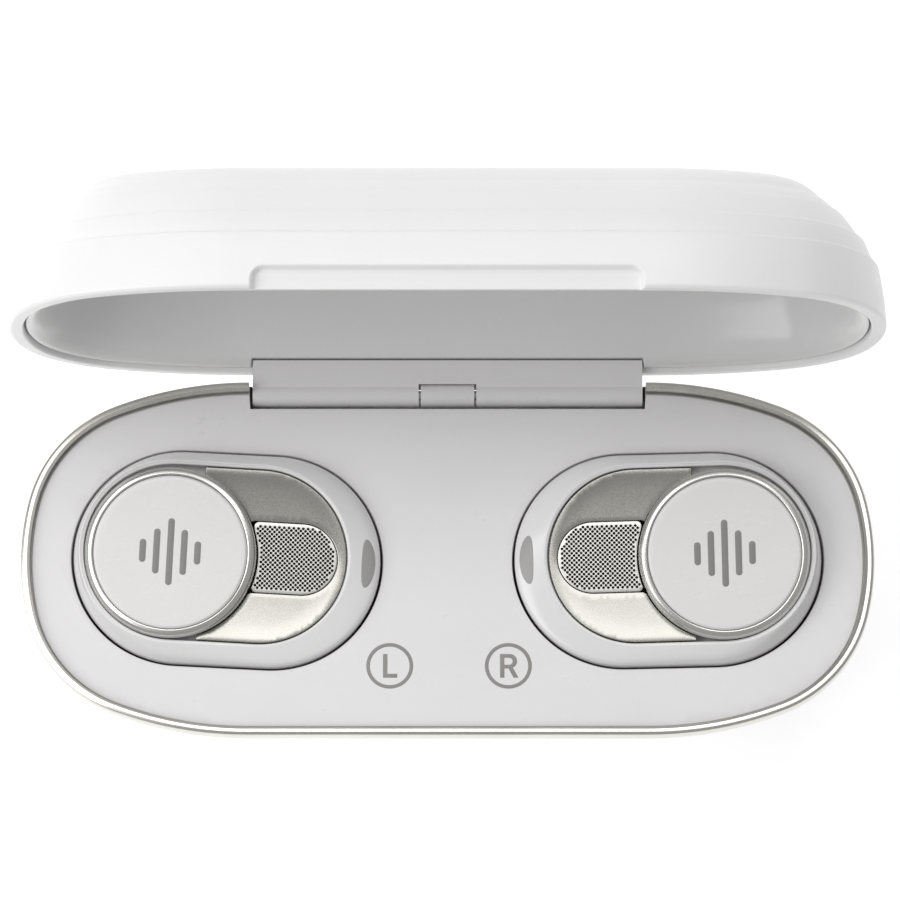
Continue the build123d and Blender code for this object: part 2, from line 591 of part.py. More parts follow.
    with BuildPart() as coin_cell:
        extrude(circle(fr.offset(16.5), 3.9, -3.9), amount=4.1)
        fillet(coin_cell.edges().filter_by(GeomType.CIRCLE), radius=0.3)
    save(coin_cell.part, side + "_coin_cell")

    with BuildPart() as bud_board:
        extrude(slot(fr.offset(21.3), 9.9, 6.4), amount=0.6)
    save(bud_board.part, side + "_bud_board")

    with BuildPart() as microphone:
        extrude(rect(fr.offset(21.95), 2.8, 6.3, -1.35, 1.35), amount=1.1)
    save(microphone.part, side + "_microphone")

    with BuildPart() as bud_contacts:
        for u in PIN_U:
            extrude(circle(fr.offset(14.70), 0.74, u), amount=1.0)
    save(bud_contacts.part, side + "_bud_contacts")

    with BuildPart() as bud_magnet:
        extrude(circle(fr.offset(15.7), 1.05, MAG_U, MAG_V * m), amount=1.2)
    save(bud_magnet.part, side + "_bud_magnet")

print("hinge axis", HINGE_Y, HINGE_Z, "lid origin", LID_ORIGIN)
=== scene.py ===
import json
import math
from math import sin, cos, radians, asin, pi

import bpy
import bmesh
import numpy as np
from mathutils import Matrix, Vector
from mathutils.geometry import delaunay_2d_cdt


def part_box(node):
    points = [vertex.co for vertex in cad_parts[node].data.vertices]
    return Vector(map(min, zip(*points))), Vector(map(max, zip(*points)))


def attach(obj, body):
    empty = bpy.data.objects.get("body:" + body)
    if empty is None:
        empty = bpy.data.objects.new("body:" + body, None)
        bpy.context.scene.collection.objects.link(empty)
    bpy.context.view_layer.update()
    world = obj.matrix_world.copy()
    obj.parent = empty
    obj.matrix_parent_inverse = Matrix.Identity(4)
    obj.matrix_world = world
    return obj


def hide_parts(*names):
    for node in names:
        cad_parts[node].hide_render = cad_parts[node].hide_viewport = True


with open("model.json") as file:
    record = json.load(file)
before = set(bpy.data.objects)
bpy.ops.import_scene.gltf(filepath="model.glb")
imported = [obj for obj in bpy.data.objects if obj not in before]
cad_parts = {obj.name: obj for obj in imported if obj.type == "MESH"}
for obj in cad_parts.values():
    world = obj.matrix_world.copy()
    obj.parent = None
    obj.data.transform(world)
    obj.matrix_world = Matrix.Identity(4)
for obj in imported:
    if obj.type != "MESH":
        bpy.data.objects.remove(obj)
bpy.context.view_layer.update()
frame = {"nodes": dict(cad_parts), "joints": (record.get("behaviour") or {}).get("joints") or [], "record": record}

MM = 0.001
NODES = frame["nodes"]

# ---------------------------------------------------------------- places, from the frame
ring_lo, ring_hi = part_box("trim_ring")
RING_TOP = ring_hi.z / MM                     # top of the metal ring
HALF_LENGTH = (ring_hi.x - ring_lo.x) / 2 / MM
HALF_DEPTH = -ring_lo.y / MM
HINGE = next(j for j in frame["joints"] if j["name"] == "lid_hinge")
deck_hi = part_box("deck_tray")[1]
DECK_EDGE = deck_hi.z / MM                    # deck height beside the ring
DECK_LOW = DECK_EDGE - 0.25                   # deck height in the middle
block_lo, block_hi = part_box("lid_hinge_block")
pin_lo, pin_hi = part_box("hinge_pin")
HINGE_Y = (pin_lo.y + pin_hi.y) / 2 / MM
HINGE_Z = (pin_lo.z + pin_hi.z) / 2 / MM
DATUM = RING_TOP - 26.0                       # the profiles below count heights from here

# ---------------------------------------------------------------- outline of the case
ARC_A, ARC_B, ARC_C, ANGLE_A = 30.8, 11.45, 20.8, radians(69.05)
_tb = asin((ARC_A - HALF_DEPTH - (ARC_A - ARC_B) * sin(ANGLE_A)) / (ARC_B - ARC_C))
STRAIGHT = HALF_LENGTH - ARC_C - (ARC_B - ARC_C) * cos(_tb) - (ARC_A - ARC_B) * cos(ANGLE_A)


def _quadrant():
    """Centres, radii and angles of one quadrant, from the nose to the middle of the long side."""
    ca = (STRAIGHT, HALF_DEPTH - ARC_A)
    cb = (ca[0] + (ARC_A - ARC_B) * cos(ANGLE_A), ca[1] + (ARC_A - ARC_B) * sin(ANGLE_A))
    cc = (cb[0] + (ARC_B - ARC_C) * cos(_tb), 0.0)
    rows = []
    for k in range(8):
        rows.append((cc[0], cc[1], ARC_C, _tb * k / 8))
    for k in range(22):
        rows.append((cb[0], cb[1], ARC_B, _tb + (ANGLE_A - _tb) * k / 22))
    for k in range(14):
        rows.append((ca[0], ca[1], ARC_A, ANGLE_A + (pi / 2 - ANGLE_A) * k / 14))
    xs = [STRAIGHT, 16.28, 16.22, 16.16, 16.10, 16.0, 15.8, 15.6, 15.5, 15.42, 15.35, 15.28, 15.21,
          15.14, 15.07, 15.0, 14.9, 14.8, 14.7, 14.6, 14.5, 14.4, 14.25, 14.0, 13.6, 13, 12, 11,
          10, 9, 8, 7, 6, 5, 4, 3, 2, 1, 0]
    for x in xs:
        rows.append((x, ca[1], ARC_A, pi / 2))
    return np.array(rows)


_q = _quadrant()
_nq = len(_q)


def _full():
    q = _q
    up = q.copy()
    left = q[:-1][::-1].copy()
    parts = []
    a = np.stack([up[:, 0], up[:, 1], up[:, 2], np.cos(up[:, 3]), np.sin(up[:, 3])], 1)
    b = np.stack([-left[:, 0], left[:, 1], left[:, 2], -np.cos(left[:, 3]), np.sin(left[:, 3])], 1)
    low = q[1:]
    c = np.stack([-low[:, 0], -low[:, 1], low[:, 2], -np.cos(low[:, 3]), -np.sin(low[:, 3])], 1)
    back = q[1:-1][::-1]
    d = np.stack([back[:, 0], -back[:, 1], back[:, 2], np.cos(back[:, 3]), -np.sin(back[:, 3])], 1)
    parts = [a, b, c, d]
    return np.concatenate(parts)


OUT = _full()
NP = len(OUT)


def oval(inset):
    """The case outline moved inwards by inset (a number, or one per point), as an (n, 2) array in mm."""
    r = OUT[:, 2] - inset
    return np.stack([OUT[:, 0] + r * OUT[:, 3], OUT[:, 1] + r * OUT[:, 4]], 1)


def smooth(t):
    t = np.clip(t, 0, 1)
    return t * t * (3 - 2 * t)


# ---------------------------------------------------------------- mesh helpers
def new_mesh(name, verts, faces, shade=True, sharp=None):
    """An object from vertices in mm and faces, with its normals turned outwards."""
    me = bpy.data.meshes.new(name)
    me.from_pydata([tuple(float(c) * MM for c in v) for v in verts], [], [tuple(int(i) for i in f) for f in faces])
    bm = bmesh.new()
    bm.from_mesh(me)
    bmesh.ops.remove_doubles(bm, verts=bm.verts, dist=1e-8)
    loose = [v for v in bm.verts if not v.link_faces]
    bmesh.ops.delete(bm, geom=loose, context="VERTS")
    bmesh.ops.recalc_face_normals(bm, faces=bm.faces)
    for f in bm.faces:
        f.smooth = shade
    if sharp:
        for e in bm.edges:
            if len(e.link_faces) == 2 and e.calc_face_angle(0) > radians(sharp):
                e.smooth = False
    bm.to_mesh(me)
    bm.free()
    me.update()
    o = bpy.data.objects.new(name, me)
    bpy.context.scene.collection.objects.link(o)
    return o


def put(o, body, slot, material, *nodes):
    o.data.materials.clear()
    o.data.materials.append(material)
    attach(o, body)
    if nodes:
        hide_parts(*nodes)
    return o


def loft(rings, closed=True, loop=False):
    """Faces between rings of equal length. closed: each ring closes on itself; loop: the last ring joins the first."""
    n = len(rings[0])
    verts = np.concatenate(rings)
    faces = []
    m = len(rings)
    for k in range(m if loop else m - 1):
        a, b = k * n, ((k + 1) % m) * n
        for i in range(n if closed else n - 1):
            j = (i + 1) % n
            faces.append((a + i, a + j, b + j, b + i))
    return verts, faces


def strip_cap(start, n):
    """A cap across a ring that is mirrored about its long axis (point 0 is the nose)."""
    faces = []
    half = n // 2
    for i in range(half):
        a, b = i, i + 1
        c, d = (n - i - 1) % n, (n - i) % n
        f = [start + a, start + b, start + c, start + d]
        u = []
        for x in f:
            if x not in u:
                u.append(x)
        if len(u) > 2:
            faces.append(tuple(u))
    return faces


def fillet_path(points, seg=5):
    """Rounds the corners of a path of (a, b) or (a, b, radius) points."""
    P = [np.array(p[:2], float) for p in points]
    R = [p[2] if len(p) > 2 else 0.0 for p in points]
    out = [P[0]]
    for i in range(1, len(P) - 1):
        r = R[i]
        if r <= 0:
            out.append(P[i])
            continue
        u, v = P[i - 1] - P[i], P[i + 1] - P[i]
        lu, lv = np.linalg.norm(u), np.linalg.norm(v)
        u, v = u / lu, v / lv
        ang = math.acos(max(-1, min(1, float(u @ v))))
        if ang > pi - 0.02:
            out.append(P[i])
            continue
        t = min(r / math.tan(ang / 2), 0.48 * lu, 0.48 * lv)
        r = t * math.tan(ang / 2)
        c = P[i] + (u + v) / np.linalg.norm(u + v) * (r / sin(ang / 2))
        s, e = P[i] + u * t - c, P[i] + v * t - c
        turn = pi - ang
        for k in range(seg + 1):
            f = k / seg
            w = (s * sin((1 - f) * turn) + e * sin(f * turn)) / sin(turn) if turn > 1e-3 else s * (1 - f) + e * f
            out.append(c + w)
    out.append(P[-1])
    return np.array(out)


def bow(a, b, c, n=6):
    """A smooth run through three points, as a list of points."""
    a, b, c = (np.array(p, float) for p in (a, b, c))
    d1, d2 = np.linalg.norm(b - a), np.linalg.norm(c - b)
    tm = d1 / (d1 + d2)
    out = []
    for k in range(n + 1):
        t = k / n
        la = (t - tm) * (t - 1) / ((0 - tm) * (0 - 1))
        lb = t * (t - 1) / (tm * (tm - 1))
        lc = t * (t - tm) / (1 - tm)
        out.append(tuple(a * la + b * lb + c * lc))
    return out


def tier(a, b, c, r0, r1, n=6):
    """A bowed wall from a to c with rounded corners at both ends."""
    pts = bow(a, b, c, n)
    pts[0] = (*pts[0], r0)
    pts[-1] = (*pts[-1], r1)
    return pts


# ---------------------------------------------------------------- materials
def _tree(name):
    m = bpy.data.materials.new(name)
    m.use_nodes = True
    nt = m.node_tree
    for n in list(nt.nodes):
        nt.nodes.remove(n)
    out = nt.nodes.new("ShaderNodeOutputMaterial")
    sh = nt.nodes.new("ShaderNodeBsdfPrincipled")
    nt.links.new(sh.outputs[0], out.inputs[0])
    co = nt.nodes.new("ShaderNodeTexCoord").outputs["Object"]
    return m, nt, sh, co


def _noise(nt, co, scale, detail=4.0, rough=0.55, stretch=None, w=None):
    src = co
    if stretch:
        mp = nt.nodes.new("ShaderNodeMapping")
        mp.inputs["Scale"].default_value = stretch
        nt.links.new(co, mp.inputs["Vector"])
        src = mp.outputs[0]
    n = nt.nodes.new("ShaderNodeTexNoise")
    n.inputs["Scale"].default_value = scale
    n.inputs["Detail"].default_value = detail
    n.inputs["Roughness"].default_value = rough
    nt.links.new(src, n.inputs["Vector"])
    return n.outputs["Fac"]


def _ramp(nt, fac, stops):
    r = nt.nodes.new("ShaderNodeValToRGB")
    e = r.color_ramp.elements
    e[0].position, e[0].color = stops[0][0], (*stops[0][1], 1)
    e[1].position, e[1].color = stops[-1][0], (*stops[-1][1], 1)
    for p, c in stops[1:-1]:
        x = e.new(p)
        x.color = (*c, 1)
    nt.links.new(fac, r.inputs[0])
    return r.outputs[0]


def _range(nt, fac, lo, hi, a=0.3, b=0.7):
    r = nt.nodes.new("ShaderNodeMapRange")
    r.inputs["From Min"].default_value = a
    r.inputs["From Max"].default_value = b
    r.inputs["To Min"].default_value = lo
    r.inputs["To Max"].default_value = hi
    nt.links.new(fac, r.inputs["Value"])
    return r.outputs["Result"]


def _bump(nt, heights, sh, strength=1.0):
    """Bump from (height socket, distance in mm) pairs, one after another."""
    normal = None
    for h, d in heights:
        b = nt.nodes.new("ShaderNodeBump")
        b.inputs["Strength"].default_value = strength
        b.inputs["Distance"].default_value = d * MM
        nt.links.new(h, b.inputs["Height"])
        if normal is not None:
            nt.links.new(normal, b.inputs["Normal"])
        normal = b.outputs[0]
    nt.links.new(normal, sh.inputs["Normal"])


def plastic(name, colour, rough=0.3, swing=0.012, grain=0.0035, grain_mm=0.22, rough_var=0.05, coat=0.0,
            coat_rough=0.1, sub=0.0, ior=1.5, speck=True):
    """Moulded plastic: slow colour drift, faint flow marks, a fine texture and uneven gloss."""
    m, nt, sh, co = _tree(name)
    slow = _noise(nt, co, 90.0, 3.0)
    fine = _noise(nt, co, 1.0 / (grain_mm * MM), 3.0, 0.6)
    lo = tuple(max(0, c * (1 - swing)) for c in colour)
    hi = tuple(min(1, c * (1 + swing * 0.6)) for c in colour)
    mixc = _ramp(nt, slow, [(0.32, lo), (0.52, colour), (0.70, hi)])
    if speck:
        sp = _noise(nt, co, 2600.0, 2.0)
        mx = nt.nodes.new("ShaderNodeMix")
        mx.data_type = "RGBA"
        mx.blend_type = "MULTIPLY"
        mx.inputs[0].default_value = 1.0
        nt.links.new(mixc, mx.inputs[6])
        nt.links.new(_ramp(nt, sp, [(0.25, (0.985, 0.985, 0.985)), (0.45, (1, 1, 1))]), mx.inputs[7])
        mixc = mx.outputs[2]
    nt.links.new(mixc, sh.inputs["Base Color"])
    smear = _noise(nt, co, 260.0, 4.0, 0.6, stretch=(1.0, 2.2, 1.0))
    nt.links.new(_range(nt, smear, rough - rough_var, rough + rough_var), sh.inputs["Roughness"])
    _bump(nt, [(slow, 0.012), (fine, grain)], sh)
    sh.inputs["IOR"].default_value = ior
    if coat:
        sh.inputs["Coat Weight"].default_value = coat
        sh.inputs["Coat Roughness"].default_value = coat_rough
    if sub:
        sh.inputs["Subsurface Weight"].default_value = sub
        sh.inputs["Subsurface Radius"].default_value = (1.0, 0.9, 0.8)
        sh.inputs["Subsurface Scale"].default_value = 0.0008
    return m


def metal(name, colour, rough=0.25, swing=0.05, grain=0.003, grain_mm=0.09, rough_var=0.06, stretch=None,
          sparkle=0.0, tint=None):
    """Plated metal: blasted or brushed grain, uneven gloss and a slow change of tone."""
    m, nt, sh, co = _tree(name)
    slow = _noise(nt, co, 130.0, 4.0)
    fine = _noise(nt, co, 1.0 / (grain_mm * MM), 5.0, 0.65, stretch=stretch)
    lo = tuple(max(0, c * (1 - swing)) for c in colour)
    hi = tuple(min(1, c * (1 + swing)) for c in (tint or colour))
    base = _ramp(nt, slow, [(0.30, lo), (0.5, colour), (0.72, hi)])
    if sparkle:
        mx = nt.nodes.new("ShaderNodeMix")
        mx.data_type = "RGBA"
        mx.blend_type = "MULTIPLY"
        mx.inputs[0].default_value = 1.0
        nt.links.new(base, mx.inputs[6])
        nt.links.new(_ramp(nt, fine, [(0.30, (1 - sparkle,) * 3), (0.5, (1 - sparkle * 0.3,) * 3),
                                      (0.68, (1, 1, 1))]), mx.inputs[7])
        base = mx.outputs[2]
    nt.links.new(base, sh.inputs["Base Color"])
    sh.inputs["Metallic"].default_value = 1.0
    nt.links.new(_range(nt, fine, rough - rough_var, rough + rough_var), sh.inputs["Roughness"])
    _bump(nt, [(slow, 0.006), (fine, grain)], sh)
    return m


def rubber(name, colour, rough=0.55):
    return plastic(name, colour, rough, swing=0.02, grain=0.004, grain_mm=0.12, rough_var=0.06, sub=0.25)


MAT = {
    "shell_white": plastic("shell_white", (0.83, 0.83, 0.83), 0.38, grain=0.0022, rough_var=0.05),
    "deck_white": plastic("deck_white", (0.72, 0.71, 0.714), 0.30, grain=0.0016, rough_var=0.03),
    "liner_white": plastic("liner_white", (0.72, 0.715, 0.715), 0.20, grain=0.0012, rough_var=0.04),
    "bud_white": plastic("bud_white", (0.74, 0.735, 0.735), 0.18, grain=0.0010, rough_var=0.04, coat=0.3, coat_rough=0.08),
    "disc_white": plastic("disc_white", (0.76, 0.75, 0.745), 0.26, grain=0.0010, rough_var=0.04),
    "ring_metal": metal("ring_metal", (0.66, 0.645, 0.60), 0.24, grain=0.0010, grain_mm=0.07),
    "face_metal": metal("face_metal", (0.42, 0.41, 0.38), 0.27, grain=0.003, grain_mm=0.09, sparkle=0.10),
    "mesh_metal": metal("mesh_metal", (0.66, 0.65, 0.62), 0.34, grain=0.0010, grain_mm=0.05),
    "bezel_metal": metal("bezel_metal", (0.64, 0.635, 0.61), 0.24, grain=0.0006, grain_mm=0.05, rough_var=0.04),
    "silicone": rubber("silicone", (0.72, 0.72, 0.725)),
    "steel": metal("steel", (0.58, 0.58, 0.59), 0.28, grain=0.0015, stretch=(6, 1, 1)),
    "cell_can": metal("cell_can", (0.60, 0.60, 0.60), 0.34, grain=0.002, stretch=(1, 1, 5)),
    "foam": plastic("foam", (0.05, 0.05, 0.055), 0.85, swing=0.25, grain=0.04, grain_mm=0.18),
    "board": plastic("board", (0.02, 0.10, 0.055), 0.38, swing=0.15, grain=0.004, grain_mm=0.3),
    "chip_black": plastic("chip_black", (0.025, 0.025, 0.027), 0.48, swing=0.2, grain=0.004),
    "clear_pipe": plastic("clear_pipe", (0.70, 0.73, 0.75), 0.16, swing=0.03, grain=0.001, coat=0.6),
    "magnet": metal("magnet", (0.50, 0.50, 0.51), 0.30, grain=0.002),
    "contact_gold": metal("contact_gold", (0.80, 0.62, 0.30), 0.22, grain=0.001),
}
SLOT_OF = {}
for row in frame["record"].get("materials", []):
    for n in row.get("nodes", []) or []:
        SLOT_OF[n] = row["slot"]
for n, o in NODES.items():
    slot = SLOT_OF.get(n)
    if slot is None:
        old = o.material_slots[0].material if o.material_slots else None
        slot = old.name.split(".")[0] if old else "shell_white"
    mat = MAT.get(slot)
    if mat is None:
        raise RuntimeError(f"{n}: no material for slot {slot}")
    if not o.material_slots:
        o.data.materials.append(mat)
    for s in o.material_slots:
        s.material = mat

MARK_GREY = plastic("mark_grey", (0.235, 0.226, 0.220), 0.36, swing=0.03, grain=0.001)
MARK_PALE = plastic("mark_pale", (0.33, 0.325, 0.32), 0.34, swing=0.03, grain=0.001)
DARK = plastic("screen_dark", (0.012, 0.012, 0.013), 0.7, swing=0.3, grain=0.003)
# painted shade: near-black finish for the strips that stand in for shadow in the hinge gaps
PAINTED_GAP_SHADE = plastic("gap_painted_shade", (0.02, 0.02, 0.02), 0.6, swing=0.3, grain=0.003)

# ---------------------------------------------------------------- closed solids from loops
class Solid:
    """Collects vertices (mm) and faces of one piece."""

    def __init__(self):
        self.v, self.f = [], []

    def ring(self, pts):
        s = len(self.v)
        self.v.extend([tuple(float(c) for c in p) for p in pts])
        return list(range(s, s + len(pts)))

    def skin(self, a, b, closed=True):
        n = len(a)
        for i in range(n if closed else n - 1):
            j = (i + 1) % n
            self.f.append((a[i], a[j], b[j], b[i]))

    def chain(self, rings, closed=True):
        ids = [self.ring(r) for r in rings]
        for a, b in zip(ids[:-1], ids[1:]):
            self.skin(a, b, closed)
        return ids

    def cap(self, ids):
        """A cap of strips across a ring mirrored about its long axis."""
        self.f.extend([tuple(ids[k] for k in f) for f in strip_cap(0, len(ids))])

    def fill(self, loops, flat, lift, step=None, margin=0.3):
        """Triangles inside loops (lists of vertex numbers), whose 2-D places are flat; extra inner
        points on a grid get their height from lift(x, y) -> 3-D points."""
        pts = np.concatenate(flat)
        ids = [i for l in loops for i in l]
        edges, s = [], 0
        for l in loops:
            n = len(l)
            edges += [(s + k, s + (k + 1) % n) for k in range(n)]
            s += n
        extra = np.zeros((0, 2))
        if step:
            lo, hi = flat[0].min(0), flat[0].max(0)
            gx = np.arange(lo[0] + step / 2, hi[0], step)
            gy = np.arange(lo[1] + step / 2, hi[1], step)
            g = np.array([(x + (step / 2 if k % 2 else 0), y) for k, y in enumerate(gy) for x in gx])
            keep = inside(g, flat)
            g = g[keep]
            if len(g):
                d = np.full(len(g), 1e9)
                for l in flat:
                    for c in range(0, len(l), 200):
                        q = l[c:c + 200]
                        d = np.minimum(d, np.sqrt(((g[:, None] - q[None]) ** 2).sum(2)).min(1))
                extra = g[d > margin]
        allp = np.concatenate([pts, extra]) if len(extra) else pts
        if len(extra):
            ids = ids + self.ring(lift(extra[:, 0], extra[:, 1]))
        res = delaunay_2d_cdt([Vector((float(p[0]), float(p[1]))) for p in allp], edges, [], 0, 1e-9, True)
        vo, fo, orig = res[0], res[2], res[3]
        back = [o[0] if o else None for o in orig]
        tri = [f for f in fo if all(back[k] is not None for k in f)]
        cen = np.array([[sum(vo[k][0] for k in f) / len(f), sum(vo[k][1] for k in f) / len(f)] for f in tri])
        ok = inside(cen, flat)
        for f, k in zip(tri, ok):
            if k:
                self.f.append(tuple(ids[back[q]] for q in f))

    def make(self, name, **kw):
        return new_mesh(name, self.v, self.f, **kw)


def inside(p, loops):
    """Even-odd test of points against loops."""
    res = np.zeros(len(p), bool)
    for l in loops:
        a, b = l, np.roll(l, -1, axis=0)
        for c in range(0, len(p), 4000):
            q = p[c:c + 4000]
            y = q[:, 1][:, None]
            cond = (a[None, :, 1] > y) != (b[None, :, 1] > y)
            with np.errstate(divide="ignore", invalid="ignore"):
                xc = a[None, :, 0] + (y - a[None, :, 1]) / (b[None, :, 1] - a[None, :, 1]) * (b[None, :, 0] - a[None, :, 0])
            hit = (cond & (q[:, 0][:, None] < xc)).sum(1) % 2 == 1
            res[c:c + 4000] ^= hit
    return res


def shrink(loop, d):
    """A closed 2-D loop (counter-clockwise) moved inwards by d."""
    a = np.roll(loop, 1, axis=0)
    b = np.roll(loop, -1, axis=0)
    e1, e2 = loop - a, b - loop
    e1 /= np.maximum(np.linalg.norm(e1, axis=1), 1e-9)[:, None]
    e2 /= np.maximum(np.linalg.norm(e2, axis=1), 1e-9)[:, None]
    n1 = np.stack([-e1[:, 1], e1[:, 0]], 1)
    n2 = np.stack([-e2[:, 1], e2[:, 0]], 1)
    n = n1 + n2
    n /= np.maximum((n * n).sum(1), 0.5)[:, None] / 2
    return loop + n * d


def ccw(loop):
    a, b = loop, np.roll(loop, -1, axis=0)
    return loop if (a[:, 0] * b[:, 1] - b[:, 0] * a[:, 1]).sum() > 0 else loop[::-1].copy()


def arc(cx, cy, r, a0, a1, n):
    t = np.linspace(radians(a0), radians(a1), n)
    return np.stack([cx + r * np.cos(t), cy + r * np.sin(t)], 1)


def resample(loop, step):
    """Adds points so that no side of a closed loop is longer than step."""
    out = []
    for a, b in zip(loop, np.roll(loop, -1, axis=0)):
        n = max(1, int(math.ceil(np.linalg.norm(b - a) / step)))
        for k in range(n):
            out.append(a + (b - a) * k / n)
    return np.array(out)


class Frame:
    """A plane: origin, two axes and a normal, in mm."""

    def __init__(self, o, x, n):
        self.o, self.n = np.array(o, float), np.array(n, float) / np.linalg.norm(n)
        x = np.array(x, float)
        x = x - self.n * (x @ self.n)
        self.x = x / np.linalg.norm(x)
        self.y = np.cross(self.n, self.x)

    def at(self, xy, z=0.0):
        xy = np.asarray(xy, float)
        z = np.broadcast_to(np.asarray(z, float), (len(xy),))
        return self.o + xy[:, :1] * self.x + xy[:, 1:2] * self.y + z[:, None] * self.n

    def up(self, d):
        return Frame(self.o + self.n * d, self.x, self.n)

    def hit(self, p, along):
        """Where the line through p along a direction meets this plane, in its own x and y."""
        p, along = np.array(p, float), np.array(along, float)
        t = ((self.o - p) @ self.n) / (along @ self.n)
        q = p + along * t - self.o
        return np.array([q @ self.x, q @ self.y])


def slab(fr, outline, holes=(), top=0.0, thick=0.5, edge=0.05, shape=None, step=None, name="slab", sharp=None,
         hole_edge=None):
    """A thin plate on a frame with rounded edges; shape(x, y) adds height to its top."""
    s = Solid()
    outline = ccw(np.asarray(outline, float))
    holes = [ccw(np.asarray(h, float)) for h in holes]
    sh = shape or (lambda x, y: np.zeros(np.shape(x)))
    loops, flats, lows, lowf = [], [], [], []
    for k, l in enumerate([outline] + holes):
        e = edge if k == 0 else (edge if hole_edge is None else hole_edge)
        sign = 1.0 if k == 0 else -1.0
        rings = [fr.at(l, top + sh(l[:, 0], l[:, 1]))]
        inner = shrink(l, sign * e) if e > 0 else l
        if e > 0:
            rings = [fr.at(shrink(l, sign * e * (1 - cos(radians(a)))),
                           top + sh(l[:, 0], l[:, 1]) - e * (1 - sin(radians(a)))) for a in (90, 60, 30, 0)]
        rings.append(fr.at(l, top + sh(l[:, 0], l[:, 1]) * 0 - thick))
        ids = s.chain(rings)
        loops.append(ids[0])
        flats.append(inner)
        lows.append(ids[-1])
        lowf.append(l)
    s.fill(loops, flats, lambda x, y: fr.at(np.stack([x, y], 1), top + sh(x, y)), step)
    s.fill(lows, lowf, lambda x, y: fr.at(np.stack([x, y], 1), top - thick), None)
    return s.make(name, sharp=sharp)


def turned(fr, profile, name, n=160, sharp=None):
    """A solid of revolution about a frame's normal from a closed (r, z) profile; r = 0 ends are closed to a point."""
    s = Solid()
    t = np.linspace(0, 2 * pi, n, endpoint=False)
    ids = []
    for r, z in profile:
        if r < 1e-6:
            ids.append(s.ring(fr.at(np.zeros((1, 2)), z)))
        else:
            ids.append(s.ring(fr.at(np.stack([r * np.cos(t), r * np.sin(t)], 1), z)))
    m = len(ids)
    last = m if profile[0][0] > 1e-6 else m - 1
    for k in range(last):
        a, b = ids[k], ids[(k + 1) % m]
        if len(a) == 1:
            s.f += [(a[0], b[(i + 1) % n], b[i]) for i in range(n)]
        elif len(b) == 1:
            s.f += [(a[i], a[(i + 1) % n], b[0]) for i in range(n)]
        else:
            s.skin(a, b)
    return s.make(name, sharp=sharp)


def catmull(P, per):
    """Smooth run through points (rows of P), per steps between neighbours."""
    P = np.asarray(P, float)
    out = []
    for i in range(len(P) - 1):
        p0 = P[i - 1] if i > 0 else 2 * P[0] - P[1]
        p3 = P[i + 2] if i + 2 < len(P) else 2 * P[-1] - P[-2]
        for k in range(per):
            t = k / per
            out.append(0.5 * ((2 * P[i]) + (-p0 + P[i + 1]) * t + (2 * p0 - 5 * P[i] + 4 * P[i + 1] - p3) * t * t
                              + (-p0 + 3 * P[i] - 3 * P[i + 1] + p3) * t ** 3))
    out.append(P[-1])
    return np.array(out)


# ---------------------------------------------------------------- lid
TURN = radians(HINGE["range_deg"][1])
RIM_Z = RING_TOP + 0.12
_vy, _vz = -HINGE_Y, RIM_Z - HINGE_Z
LID_O = np.array([0, HINGE_Y + _vy * cos(TURN) + _vz * sin(TURN), HINGE_Z - _vy * sin(TURN) + _vz * cos(TURN)])
LID_BACK = np.array([0, cos(TURN), -sin(TURN)])
LID_UP = np.array([0, sin(TURN), cos(TURN)])
OVERHANG = 0.35


def lid_points(xy, h):
    h = np.broadcast_to(np.asarray(h, float), (len(xy),))
    return LID_O + xy[:, :1] * np.array([1.0, 0, 0]) + xy[:, 1:2] * LID_BACK + h[:, None] * LID_UP


def quad3(a, b, c):
    """inset as a smooth function of height through three (inset, h) points."""
    (i0, h0), (i1, h1), (i2, h2) = a, b, c
    co = np.polyfit([h0, h1, h2], [i0, i1, i2], 2)
    return lambda h: float(np.polyval(co, h))


def wall(a, b, c, heights, r0, r1):
    f = quad3(a, b, c)
    pts = [(f(h), h) for h in heights]
    pts[0] = (*pts[0], r0)
    pts[-1] = (*pts[-1], r1)
    return pts


path = [tuple(p) for p in catmull([(10.2, 10.85), (7.4, 10.3), (4.9, 9.0), (3.0, 7.0), (1.75, 4.5), (1.36, 2.0)], 4)]
path += [(1.20, 0.10, 0.05), (1.10, 0.0, 0.05), (0.95, 0.0), (0.60, 0.0), (0.24, 0.0, 0.16), (0.03, 0.16, 0.12)]
h1 = [0.25, 0.40, 0.55, 0.7, 0.85, 1.0, 1.07, 1.14, 1.21, 1.28, 1.35, 1.42, 1.49, 1.56, 1.63, 1.70, 1.76, 1.82, 1.88,
      1.94, 2.0, 2.06, 2.12, 2.2, 2.4, 2.8, 3.3, 3.8, 4.2, 4.45, 4.70]
path += wall((0, .25), (.18, 2.5), (.53, 4.70), h1, 0, 0.22)
path += wall((.90, 4.70), (1.16, 5.65), (1.55, 6.65), [4.70, 4.95, 5.3, 5.7, 6.1, 6.4, 6.65], 0.12, 0.18)
path += wall((1.85, 6.65), (2.45, 7.7), (3.25, 8.8), [6.65, 6.9, 7.3, 7.7, 8.1, 8.5, 8.8], 0.10, 0.15)
path += wall((3.48, 8.8), (3.95, 9.35), (4.55, 9.9), [8.8, 9.05, 9.35, 9.65, 9.9], 0.08, 0.10)
for k in (0.0, .03, .06, .1, .14, .19, .25, .32, .40, .5, .6, .7, .8, .9, 1.0):
    path.append((4.70 + 6.45 * k, 9.9 + 1.92 * (1 - (1 - k) ** 4.6), *((0.05,) if k == 0 else ())))
prof = fillet_path(path, 4)

